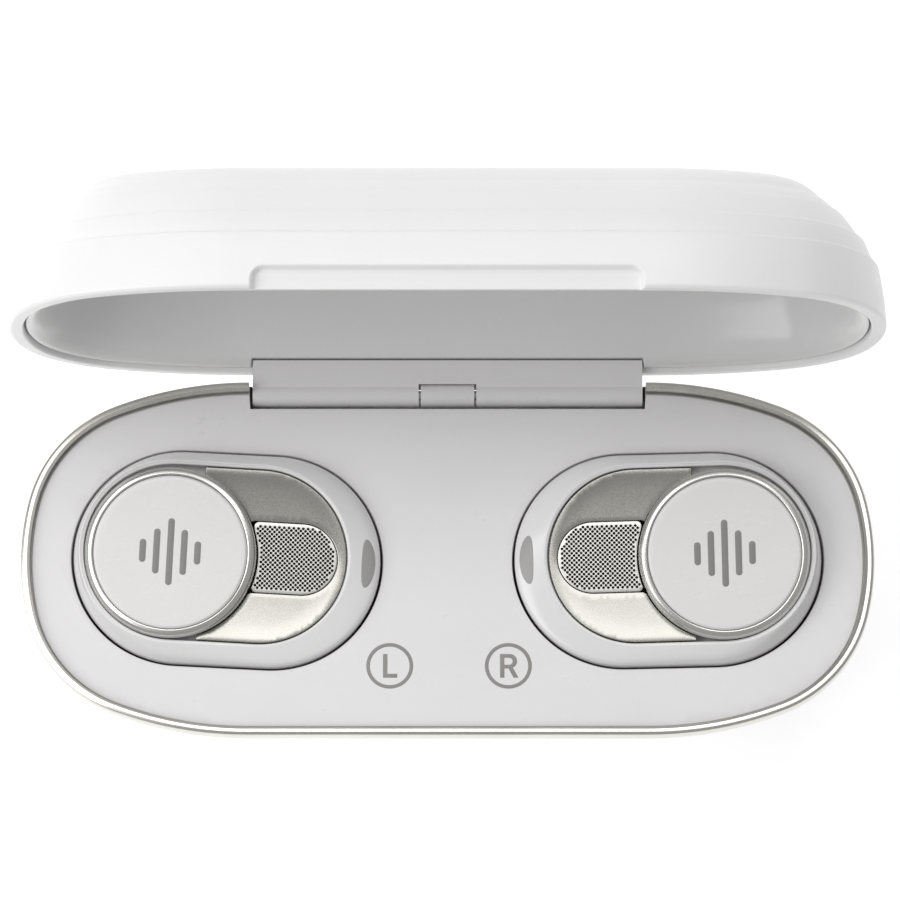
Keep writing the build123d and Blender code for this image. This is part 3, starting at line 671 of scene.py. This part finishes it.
sX, sY = OUT[:, 0] + 0 * OUT[:, 3], OUT[:, 4]
front = OUT[:, 4] < -0.999          # columns on the straight front side
colx = OUT[:, 0]
s = Solid()
rings = []
for ins, h in prof:
    inset = np.full(NP, ins - OVERHANG)
    hh = np.full(NP, h)
    outer = ins < 1.11 and h < 2.3
    if outer:
        dx, dh = np.abs(colx) - 15.3 + 1.0, h - 1.72 + 1.0
        sd = np.hypot(np.maximum(dx, 0), max(dh, 0)) - 1.0 + np.minimum(np.maximum(dx, dh), 0)
        w = smooth(0.5 - sd / 0.34) * front
        si = np.interp(h, [0, .7, 1.3, 1.72, 2.1], [.88, .80, .68, .48, .30]) + 0.02 * ins
        inset = inset * (1 - w) + np.maximum(inset, si - OVERHANG) * w
    if h < 1.0:
        w2 = smooth((15.12 - np.abs(colx)) / 0.22) * front * 0.06
        hh = w2 + h * (1.0 - w2) if h >= 0 else hh
    rings.append(lid_points(oval(inset), hh))
ids = s.chain(rings)
s.cap(ids[0])
s.cap(ids[-1])
lid = s.make("lid_shell_moulded")
put(lid, "lid", "shell_white", MAT["shell_white"], "lid_shell")

path = [tuple(p) for p in catmull([(10.2, 9.15), (7.7, 8.5), (5.75, 7.3), (4.45, 5.6), (3.62, 3.6), (3.02, 2.0), (2.52, 1.10)], 8)]
path += [(2.44, 0.99), (2.36, 0.90), (2.28, .81), (2.08, 0.62), (1.86, 0.47), (1.66, 0.40), (1.52, 0.38), (1.42, 0.41, 0.05), (1.38, 0.55),
         (1.45, 1.3, 0.04), (2.45, 1.3, 0.04)]
path += [tuple(p) for p in catmull([(2.5, 1.6), (3.05, 5.0), (4.4, 7.5), (6.5, 9.2), (9.4, 10.1)], 4)]
prof = fillet_path(path, 5)
back = OUT[:, 4] > 0.999
s = Solid()
rings = []
for ins, h in prof:
    hh = np.full(NP, h)
    if ins <= 2.40 and h < 1.0:
        w = smooth((16.28 - np.abs(colx)) / 0.14) * back
        hh = h * (1 - w) + (1.02 + 0.02 * (2.4 - ins)) * w
    rings.append(lid_points(oval(np.full(NP, ins - OVERHANG)), hh))
ids = s.chain(rings)
s.cap(ids[0])
s.cap(ids[-1])
liner = s.make("lid_liner_moulded")
put(liner, "lid", "liner_white", MAT["liner_white"], "lid_liner")

# ---------------------------------------------------------------- trim ring, open at the hinge
prof = fillet_path([(0.0, 24.7), (0.0, 25.72, 0.25), (0.08, 25.92, 0.12), (0.28, 26.0, 0.14), (0.55, 26.0, 0.05),
                    (0.75, 25.80, 0.05), (0.75, 24.7)], 5)
k0 = 44                                          # first column of the straight side
q2 = 2 * (_nq - 1) - k0
order = list(range(q2, NP)) + list(range(0, k0 + 1))
s = Solid()
rows = []
for ins, z in prof:
    p = oval(np.full(NP, float(ins)))[order]
    rows.append(s.ring(np.concatenate([p, np.full((len(p), 1), DATUM + z)], 1)))
for a, b in zip(rows, rows[1:] + rows[:1]):
    s.skin(a, b, closed=False)
s.f.append(tuple(r[0] for r in rows))
s.f.append(tuple(r[-1] for r in rows))
ring = s.make("trim_ring_polished", sharp=50)
put(ring, "base", "ring_metal", MAT["ring_metal"], "trim_ring")

# ---------------------------------------------------------------- earbud frames
BUD_HL, BUD_HW, TRAY_HL, TRAY_HW, TRAY_C = 12.6, 8.9, 10.80, 7.25, -0.85
DISC_U, DISC_V, DISC_R, BEZEL_R, NOZZLE_U = -4.52, -0.17, 6.28, 7.0, 4.5
YAW = {"left": -2.9, "right": 1.3}


def bud_axes(side):
    lo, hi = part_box(side + "_bud_cover")
    cx, cy = (lo.x + hi.x) / 2 / MM, (lo.y + hi.y) / 2 / MM
    a = radians(YAW[side])
    m = 1.0 if side == "left" else -1.0
    ux = np.array([m * cos(a), m * sin(a), 0])
    uy = np.array([-sin(a), cos(a), 0])
    return np.array([cx, cy, DATUM]), ux, uy, m


def slot_loop(hl, hw, c=0.0, n=36, m=10):
    """Outline of a round-ended slot, anticlockwise from its +x nose, mirrored about x."""
    r = hw
    e = hl - r
    q = [(c + e + r * cos(t), r * sin(t)) for t in np.linspace(0, pi / 2, n, endpoint=False)]
    q += [(c + x, r) for x in np.linspace(e, -e, 2 * m, endpoint=False)]
    q += [(c - e + r * cos(t), r * sin(t)) for t in np.linspace(pi / 2, pi, n, endpoint=False)]
    q += [(c - e - r, 0.0)]
    up = np.array(q)
    low = up[1:-1][::-1] * np.array([1, -1])
    return np.concatenate([up, low])


def level(side, z):
    o, ux, uy, m = bud_axes(side)
    return Frame(o + np.array([0, 0, z]), ux, (0, 0, 1))


def leaning(side, u, z, front, inner):
    o, ux, uy, m = bud_axes(side)
    up = np.array([0, 0, 1.0])
    n = up - uy * math.tan(radians(front)) + ux * math.tan(radians(inner))
    return Frame(o + ux * u + up * z, ux, n)


# ---------------------------------------------------------------- deck with its wells
OUTLINE = oval(np.zeros(NP))


def clipped(inset):
    p = oval(np.full(NP, float(inset)))
    lim = 12.79 - max(0.0, inset - 0.90)
    b = back & (np.abs(colx) < 16.32)
    p[b, 1] = np.minimum(p[b, 1], lim)
    return p


def deck_height(x, y):
    x, y = np.atleast_1d(x), np.atleast_1d(y)
    d = np.empty(len(x))
    p = np.stack([x, y], 1)
    for c in range(0, len(p), 500):
        d[c:c + 500] = np.sqrt(((p[c:c + 500, None] - OUTLINE[None]) ** 2).sum(2)).min(1)
    t = smooth((d - 1.1) / 5.6)
    return DATUM + 25.2 - 0.25 * t


s = Solid()
rim = [(0.90, 24.72), (0.90, 25.10), (0.915, 25.155), (0.95, 25.188), (1.00, 25.2)]
ids = []
for i, z in rim:
    p = clipped(i)
    zz = np.full(len(p), DATUM + z)
    if z > 25.0:
        zz = deck_height(p[:, 0], p[:, 1]) - (25.2 - z)
    ids.append(s.ring(np.concatenate([p, zz[:, None]], 1)))
for a, b in zip(ids[:-1], ids[1:]):
    s.skin(a, b)
top_loops, top_flat = [ids[-1]], [clipped(1.00)]
low_p = clipped(1.65)
low = s.ring(np.concatenate([low_p, np.full((NP, 1), DATUM + 23.9)], 1))
mid = s.ring(np.concatenate([low_p, np.full((NP, 1), DATUM + 24.72)], 1))
s.skin(ids[0], mid)
s.skin(mid, low)
bot_loops, bot_flat = [low], [low_p]


def world2(fr, loop):
    return fr.at(loop)[:, :2]


for side in ("left", "right"):
    f0 = level(side, 0)
    hl, hw = BUD_HL + 0.2, BUD_HW + 0.2
    rings = []
    for e, dz in ((0.07, 0.0), (0.035, 0.010), (0.010, 0.035), (0.0, 0.07)):
        q = slot_loop(hl + e, hw + e)
        w = f0.at(q)
        w[:, 2] = deck_height(w[:, 0], w[:, 1]) - dz
        rings.append(w)
    for z, a, b, c in ((24.0, 12.75, 9.05, 0.0), (20.5, 12.3, 8.8, 0.0), (17.4, 11.2, 8.35, 0.5), (14.6, 10.08, 7.85, 0.98),
                       (14.35, 9.95, 7.75, 1.0), (14.3, 9.8, 7.6, 1.0)):
        rings.append(f0.up(z).at(slot_loop(a, b, c)))
    ids = s.chain(rings)
    top_loops.append(ids[0])
    top_flat.append(world2(f0, slot_loop(hl + 0.07, hw + 0.07)))
    # floor of the well, with the nozzle pocket and two pin holes
    t = np.linspace(0, 2 * pi, 96, endpoint=False)
    ring_c = lambda r, u, k=96: np.stack([u + r * np.cos(np.linspace(0, 2 * pi, k, endpoint=False)),
                                          r * np.sin(np.linspace(0, 2 * pi, k, endpoint=False))], 1)
    pocket = s.chain([f0.up(14.3).at(ring_c(6.25, NOZZLE_U)), f0.up(14.15).at(ring_c(6.1, NOZZLE_U)),
                      f0.up(8.0).at(ring_c(6.1, NOZZLE_U)), f0.up(6.5).at(ring_c(5.25, NOZZLE_U)),
                      f0.up(6.3).at(ring_c(5.0, NOZZLE_U))])
    pins_t, pins_b = [], []
    for u in (-6.8, -4.4):
        pn = s.chain([f0.up(14.3).at(ring_c(0.62, u, 24)), f0.up(14.22).at(ring_c(0.55, u, 24)),
                      f0.up(13.5).at(ring_c(0.55, u, 24))])
        pins_t.append(pn[0])
        pins_b.append(pn[-1])
    s.fill([ids[-1], pocket[0]] + pins_t,
           [slot_loop(9.8, 7.6, 1.0), ring_c(6.25, NOZZLE_U), ring_c(0.62, -6.8, 24), ring_c(0.62, -4.4, 24)],
           lambda x, y: f0.up(14.3).at(np.stack([x, y], 1)), 1.2)
    c = s.ring(f0.up(6.3).at(np.array([[NOZZLE_U, 0.0]])))
    s.f += [(pocket[-1][i], pocket[-1][(i + 1) % 96], c[0]) for i in range(96)]
    # outside of the well
    outer = s.chain([f0.up(23.9).at(slot_loop(13.55, 9.85)), f0.up(20.5).at(slot_loop(13.1, 9.6)),
                     f0.up(13.5).at(slot_loop(10.7, 8.5, 1.0))])
    bot_loops.append(outer[0])
    bot_flat.append(world2(f0, slot_loop(13.55, 9.85)))
    pock = s.chain([f0.up(13.5).at(ring_c(6.9, NOZZLE_U)), f0.up(8.0).at(ring_c(6.9, NOZZLE_U)),
                    f0.up(5.5).at(ring_c(5.8, NOZZLE_U))])
    s.fill([outer[-1], pock[0]] + pins_b,
           [slot_loop(10.7, 8.5, 1.0), ring_c(6.9, NOZZLE_U), ring_c(0.55, -6.8, 24), ring_c(0.55, -4.4, 24)],
           lambda x, y: f0.up(13.5).at(np.stack([x, y], 1)), None)
    c = s.ring(f0.up(5.5).at(np.array([[NOZZLE_U, 0.0]])))
    s.f += [(pock[-1][i], pock[-1][(i + 1) % 96], c[0]) for i in range(96)]
s.fill(top_loops, top_flat, lambda x, y: np.stack([x, y, deck_height(x, y)], 1), 0.8, 0.35)
s.fill(bot_loops, bot_flat, lambda x, y: np.stack([x, y, np.full(len(x), DATUM + 23.9)], 1), None)
deck = s.make("deck_moulded", sharp=60)
put(deck, "base", "deck_white", MAT["deck_white"], "deck_tray")

# ---------------------------------------------------------------- earbuds
def glyph_bars():
    """A generic level sign: five round-ended bars."""
    loops = []
    for k, hh in enumerate((0.95, 1.85, 2.75, 1.85, 0.95)):
        x = (k - 2) * 1.12
        r = 0.27
        loops.append(np.concatenate([arc(x, hh - r, r, 0, 180, 12), arc(x, -hh + r, r, 180, 360, 12)]))
    return loops


for side in ("left", "right"):
    body = side + "_earbud"
    f0 = level(side, 0)
    o, ux, uy, mside = bud_axes(side)
    face = leaning(side, TRAY_C, 26.95, 5.0, 3.0)
    half = leaning(side, 0, 26.25, 2.25, 1.5)
    disc = leaning(side, DISC_U, 27.10, 7.5, 0.0)
    disc.o = disc.o + uy * DISC_V
    # moulded cover: wall, crowned ring, lip and recess
    key = [f0.up(24.3).at(slot_loop(12.53, 8.86)), f0.up(24.8).at(slot_loop(BUD_HL, BUD_HW)),
           f0.up(25.5).at(slot_loop(12.5, 8.8)), half.at(slot_loop(12.0, 8.45, -0.15)), face.at(slot_loop(11.20, 7.65))]
    key.append(face.at(slot_loop(10.95, 7.40), 0.012))
    crown = catmull(np.array(key), 7)
    rings = [f0.up(20.9).at(slot_loop(12.02, 8.52)), f0.up(20.98).at(slot_loop(12.12, 8.62))] + list(crown)
    rings += [face.at(slot_loop(10.86, 7.31), -0.008), face.at(slot_loop(10.815, 7.265), -0.05),
              face.at(slot_loop(10.80, 7.25), -0.12), face.at(slot_loop(10.80, 7.25), -1.15),
              face.at(slot_loop(9.95, 6.45), -1.15), f0.up(24.3).at(slot_loop(9.95, 6.45, TRAY_C)),
              f0.up(24.3).at(slot_loop(11.1, 7.6)), f0.up(20.9).at(slot_loop(11.1, 7.6))]
    s = Solid()
    ids = s.chain(rings)
    s.skin(ids[-1], ids[0])
    cover = s.make(side + "_cover_moulded", sharp=48)
    put(cover, body, "bud_white", MAT["bud_white"], side + "_bud_cover")

    # side mark on the sloping inner end: a small oval
    C = np.array(crown)                                   # (rows, n, 3)
    seg = np.sqrt(((C[1:, 0] - C[:-1, 0]) ** 2).sum(1))
    sl = np.concatenate([[0], np.cumsum(seg)])
    along = slot_loop(12.0, 8.45)
    al = np.concatenate([[0], np.cumsum(np.sqrt(((along[1:] - along[:-1]) ** 2).sum(1)))])
    per = al[-1] + np.linalg.norm(along[0] - along[-1])

    def skin_at(a, t, lift=0.0):
        """Point on the cover at arc length a round the inner nose and t up the slope."""
        r = np.interp(t, sl, np.arange(len(sl)))
        aa = a % per
        k = np.interp(aa, np.append(al, per), np.arange(len(al) + 1))
        i0, j0 = int(r), int(k)
        fr_, fc = r - i0, k - j0
        i1, j1 = min(i0 + 1, len(C) - 1), (j0 + 1) % C.shape[1]
        j0 = j0 % C.shape[1]
        p = (C[i0, j0] * (1 - fr_) + C[i1, j0] * fr_) * (1 - fc) + (C[i0, j1] * (1 - fr_) + C[i1, j1] * fr_) * fc
        du = (C[i1, j0] - C[i0, j0]) if i1 != i0 else (C[i0, j0] - C[i0 - 1, j0])
        dv = C[i0, j1] - C[i0, j0]
        n = np.cross(du, dv)
        n /= max(np.linalg.norm(n), 1e-9)
        if n[2] < 0:
            n = -n
        return p + n * lift

    tc = sl[-1] - 1.62
    s = Solid()
    rr = []
    for f, lift in ((1.0, -0.02), (1.0, 0.006), (0.96, 0.012), (0.8, 0.012), (0.6, 0.012), (0.4, 0.012), (0.2, 0.012)):
        pts = []
        for t in np.linspace(0, 2 * pi, 48, endpoint=False):
            ca, sa = cos(t), sin(t)
            pts.append(skin_at(2.05 * f * sa, tc + 0.60 * f * ca * (1 + 0 * sa), lift))
        rr.append(s.ring(pts))
    for a, b in zip(rr[:-1], rr[1:]):
        s.skin(a, b)
    mid = s.ring([skin_at(0.0, tc, 0.012)])
    s.f += [(rr[-1][i], rr[-1][(i + 1) % 48], mid[0]) for i in range(48)]
    lowc = s.ring([skin_at(0.0, tc, -0.02)])
    s.f += [(rr[0][i], lowc[0], rr[0][(i + 1) % 48]) for i in range(48)]
    oval_mark = s.make(side + "_end_mark")
    put(oval_mark, body, "bud_white", MARK_PALE)

    # metal face: plate beside the touch module, with the window for the vent screen
    dc = face.hit(disc.o, disc.n)
    R = BEZEL_R + 0.06
    y1 = math.sqrt(R * R - (-1.2 - dc[0]) ** 2)
    wy, wx = 2.975, 5.2 + 4.8 - 2.975
    xa = dc[0] + math.sqrt(R * R - wy * wy)
    a_in = math.degrees(math.atan2(wy, xa - dc[0]))
    a_out = math.degrees(math.atan2(y1, -1.2 - dc[0]))
    e = TRAY_HL - 0.11 - (TRAY_HW - 0.11)
    hw = TRAY_HW - 0.11
    outline = np.concatenate([
        np.array([(-1.2, -hw)]), np.array([(x, -hw) for x in np.linspace(-0.8, e - 0.2, 8)]),
        arc(e, 0, hw, -90, 90, 60), np.array([(x, hw) for x in np.linspace(e - 0.2, -0.8, 8)]), np.array([(-1.2, hw)]),
        arc(dc[0], dc[1], R, a_out, a_in, 26),
        np.array([(x, wy) for x in np.linspace(xa + 0.3, wx - 0.3, 8)]), arc(wx, 0, wy, 90, -90, 40),
        np.array([(x, -wy) for x in np.linspace(wx - 0.3, xa + 0.3, 8)]),
        arc(dc[0], dc[1], R, -a_in, -a_out, 26)])

    def bowl(x, y, m=mside):
        yy = y * m                                          # towards the back of the case
        d = np.clip((hw - np.hypot(np.maximum(x - e, 0), y)) / 1.6, 0, 1)
        return 0.08 * (1 - d) ** 2 + 0.0068 * y * y - 0.24
    plate = slab(face, outline, top=-0.27, thick=0.55, edge=0.06, shape=bowl, step=0.30, name=side + "_face_plate_pressed",
                 sharp=55)
    put(plate, body, "face_metal", MAT["face_metal"], side + "_face_plate")

    # perforated vent screen with real holes, over a dark backing cloth
    R2 = BEZEL_R + 0.12
    vy, vx = 2.925, 5.2 + 4.75 - 2.925
    rc = 0.42                                                # small corner radius at the concave end
    xb = dc[0] + math.sqrt(R2 * R2 - (vy - rc) ** 2) + 0.02
    ain = math.degrees(math.asin((vy - rc) / R2))
    corner = arc(xb + rc, vy - rc, rc, 180, 90, 7)
    vent = np.concatenate([arc(vx, 0, vy, -90, 90, 44), np.array([(x, vy) for x in np.linspace(vx - 0.4, xb + rc + 0.2, 6)]),
                           corner[::-1], arc(dc[0], dc[1], R2, ain - 1.5, -ain + 1.5, 26),
                           (corner * np.array([1, -1])), np.array([(x, -vy) for x in np.linspace(xb + rc + 0.2, vx - 0.4, 6)])])
    inner = shrink(ccw(vent), 0.20)
    holes = []
    pitch = 0.39
    for j in range(-20, 21):
        for i in range(-4, 40):
            hx, hy = i * pitch + (pitch / 2 if j % 2 else 0) + 1.0, j * pitch / 2
            holes.append((hx, hy))
    holes = np.array(holes)
    holes = holes[inside(holes, [inner])]
    ring8 = arc(0, 0, 0.126, 0, 315, 8)
    mesh = slab(face, vent, [h + ring8 for h in holes], top=-0.45, thick=0.20, edge=0.05, hole_edge=0.0,
                name=side + "_vent_screen", sharp=35)
    put(mesh, body, "mesh_metal", MAT["mesh_metal"], side + "_vent_mesh")
    cloth = slab(face, shrink(ccw(vent), 0.08), top=-0.66, thick=0.12, edge=0.02, name=side + "_vent_cloth")
    put(cloth, body, "foam", DARK)

    # polished bezel with fine stepped edges
    prof = fillet_path([(4.2, 0.45), (4.2, -0.30), (BEZEL_R, -0.30), (BEZEL_R, 0.18, 0.03), (BEZEL_R - 0.06, 0.22, 0.02),
                        (BEZEL_R - 0.06, 0.30, 0.02), (BEZEL_R, 0.34, 0.03), (BEZEL_R, 0.60, 0.05), (BEZEL_R - 0.08, 0.66, 0.02),
                        (BEZEL_R - 0.09, 0.78, 0.04), (BEZEL_R - 0.17, 0.95, 0.12), (BEZEL_R - 0.34, 1.07, 0.12), (BEZEL_R - 0.56, 1.12, 0.05),
                        (DISC_R + 0.07, 1.09, 0.02), (DISC_R + 0.04, 1.02), (DISC_R + 0.04, 0.45)], 3)
    bez = turned(disc, [tuple(p) for p in prof], side + "_bezel_polished", n=180, sharp=40)
    put(bez, body, "bezel_metal", MAT["bezel_metal"], side + "_touch_bezel")

    # touch disc: slightly crowned white lens
    prof = [(0.0, 1.165)] + [(r, 1.165 - 0.02 * (r / 6.0) ** 2) for r in (0.6, 1.4, 2.4, 3.4, 4.4, 5.2, 5.7)]
    prof += [tuple(p) for p in fillet_path([(5.95, 1.145), (6.12, 1.13, 0.1), (DISC_R, 0.98, 0.08), (DISC_R, 0.49, 0.02)], 5)]
    prof += [(DISC_R - 0.03, 0.47), (3.0, 0.47), (0.0, 0.47)]
    lens = turned(disc, prof, side + "_touch_lens", n=180)
    put(lens, body, "disc_white", MAT["disc_white"], side + "_touch_disc")

    ang = radians(90.0)
    for k, l in enumerate(glyph_bars()):
        rad = np.hypot(l[:, 0], l[:, 1])
        bar = slab(disc, l, top=1.174, thick=0.03, edge=0.006, shape=lambda x, y: -0.02 * ((x * x + y * y) / 36.0),
                   name=f"{side}_level_sign_{k + 1}")
        put(bar, body, "disc_white", MARK_GREY)

# ---------------------------------------------------------------- side marks printed on the deck
def letter(which):
    t = 0.17
    if which == "L":
        return [np.array([(-0.55, -1.0), (0.62, -1.0), (0.62, -0.66), (-0.19, -0.66), (-0.19, 1.0), (-0.55, 1.0)])], []
    out = np.concatenate([np.array([(-0.68, -1.0), (-0.32, -1.0), (-0.32, -0.22), (0.02, -0.22), (0.42, -1.0), (0.82, -1.0), (0.36, -0.12)]),
                          arc(0.12, 0.40, 0.60, -58, 90, 14), np.array([(-0.68, 1.0)])])
    hole = np.concatenate([np.array([(-0.32, 0.10)]), arc(0.06, 0.39, 0.29, -90, 90, 12), np.array([(-0.32, 0.68)])])
    return [out], [hole]


for which, cx, cy in (("L", -4.72, -8.9), ("R", 4.97, -8.9)):
    z = float(deck_height(cx, cy)[0])
    fr = Frame((cx, cy, z), (1, 0, 0), (0, 0, 1))
    dz = lambda x, y, cx=cx, cy=cy, z=z: deck_height(np.atleast_1d(x) + cx, np.atleast_1d(y) + cy) - z
    t = np.linspace(0, 360, 72, endpoint=False)
    ro, ri = 1.92, 1.62
    circ = slab(fr, arc(0, 0, ro, 0, 355, 72), [arc(0, 0, ri, 0, 355, 72)], top=0.012, thick=0.03, edge=0.005, shape=dz,
                name="side_ring_" + which)
    put(circ, "base", "deck_white", MARK_GREY)
    outs, hs = letter(which)
    for l in outs:
        let = slab(fr, l, hs, top=0.012, thick=0.03, edge=0.005, shape=dz, name="side_letter_" + which)
        put(let, "base", "deck_white", MARK_GREY)

# END_PIECES

# ---------------------------------------------------------------- stage
def floor():
    n = 48
    xs = np.linspace(-1, 1, n)
    verts, faces = [], []
    for j in range(n):
        for i in range(n):
            x, y = xs[i] * 900, xs[j] * 900
            far = max(0.0, y - 350.0)
            verts.append((x, y, far * far / 900.0 + 0.004 * sin(i * 1.7) * cos(j * 1.3) - 0.01))
    for j in range(n - 1):
        for i in range(n - 1):
            a = j * n + i
            faces.append((a, a + 1, a + n + 1, a + n))
    return new_mesh("studio_floor", verts, faces)


# painted shade: dark strips in the narrow gaps between the hinge block and the trim ring's cut ends, standing in for
# the shadow there
for shade_side, shade_x in (("L", -16.25), ("R", 16.25)):
    s = Solid()
    loops = []
    for z, e in ((18.97, 0.03), (19.0, 0.0), (20.75, 0.0), (20.78, 0.03)):
        loops.append(s.ring(np.array([(shade_x + sx * (0.11 - e), sy + (e if sy < 14 else -e), z)
                                      for sx, sy in ((-1, 12.72), (1, 12.72), (1, 14.78), (-1, 14.78))])))
    for a, b in zip(loops[:-1], loops[1:]):
        s.skin(a, b)
    s.f += [tuple(loops[0][::-1]), tuple(loops[-1])]
    put(s.make("hinge_gap_painted_shade_" + shade_side), "base", "foam", PAINTED_GAP_SHADE)

FLOOR_MAT = plastic("floor_paper", (0.85, 0.85, 0.85), 0.75, swing=0.006, grain=0.01, grain_mm=0.5)
_fs = next(n for n in FLOOR_MAT.node_tree.nodes if n.type == "BSDF_PRINCIPLED")
_fs.inputs["Emission Color"].default_value = (1, 1, 1, 1)
_fs.inputs["Emission Strength"].default_value = 0.45
fl = floor()
fl.data.materials.append(FLOOR_MAT)

world = bpy.data.worlds.new("studio")
bpy.context.scene.world = world
world.use_nodes = True
world.node_tree.nodes["Background"].inputs[0].default_value = (1.0, 1.0, 1.0, 1)
world.node_tree.nodes["Background"].inputs[1].default_value = 0.43


def area(name, place, target, size, power, colour=(1, 1, 1)):
    l = bpy.data.lights.new(name, "AREA")
    l.shape = "RECTANGLE"
    l.size, l.size_y = size[0] * MM, size[1] * MM
    l.energy = power
    l.color = colour
    o = bpy.data.objects.new(name, l)
    bpy.context.scene.collection.objects.link(o)
    o.location = Vector(place) * MM
    d = (Vector(target) - Vector(place)).normalized()
    o.rotation_mode = "QUATERNION"
    o.rotation_quaternion = d.to_track_quat("-Z", "Y")
    return o


area("key_left", (-210, -50, 230), (0, 0, 15), (230, 230), 0.42)
area("top_back", (-30, 170, 480), (0, 0, 15), (420, 255), 0.78)

# ---------------------------------------------------------------- camera
TILT = radians(14.5)
view_dir = Vector((0, -sin(TILT), cos(TILT)))      # from the object towards the camera
view_up = Vector((0, cos(TILT), sin(TILT)))
aim = Vector((0.205, 0.0, RING_TOP)) + view_up * 8.763
cam_data = bpy.data.cameras.new("camera")
cam = bpy.data.objects.new("camera", cam_data)
bpy.context.scene.collection.objects.link(cam)
cam.location = (aim + view_dir * 500.0) * MM
cam.rotation_mode = "QUATERNION"
cam.rotation_quaternion = view_dir.to_track_quat("Z", "Y")
cam_data.sensor_width = 36.0
cam_data.lens = 18.0 / math.tan(radians(8.431) / 2)
cam_data.clip_start, cam_data.clip_end = 0.01, 10.0
cam_data.dof.use_dof = False
bpy.context.scene.camera = cam

scene = bpy.context.scene
scene.view_settings.view_transform = "Standard"
scene.view_settings.look = "None"
scene.view_settings.exposure = 0.0
scene.view_settings.gamma = 1.0

bpy.context.view_layer.update()
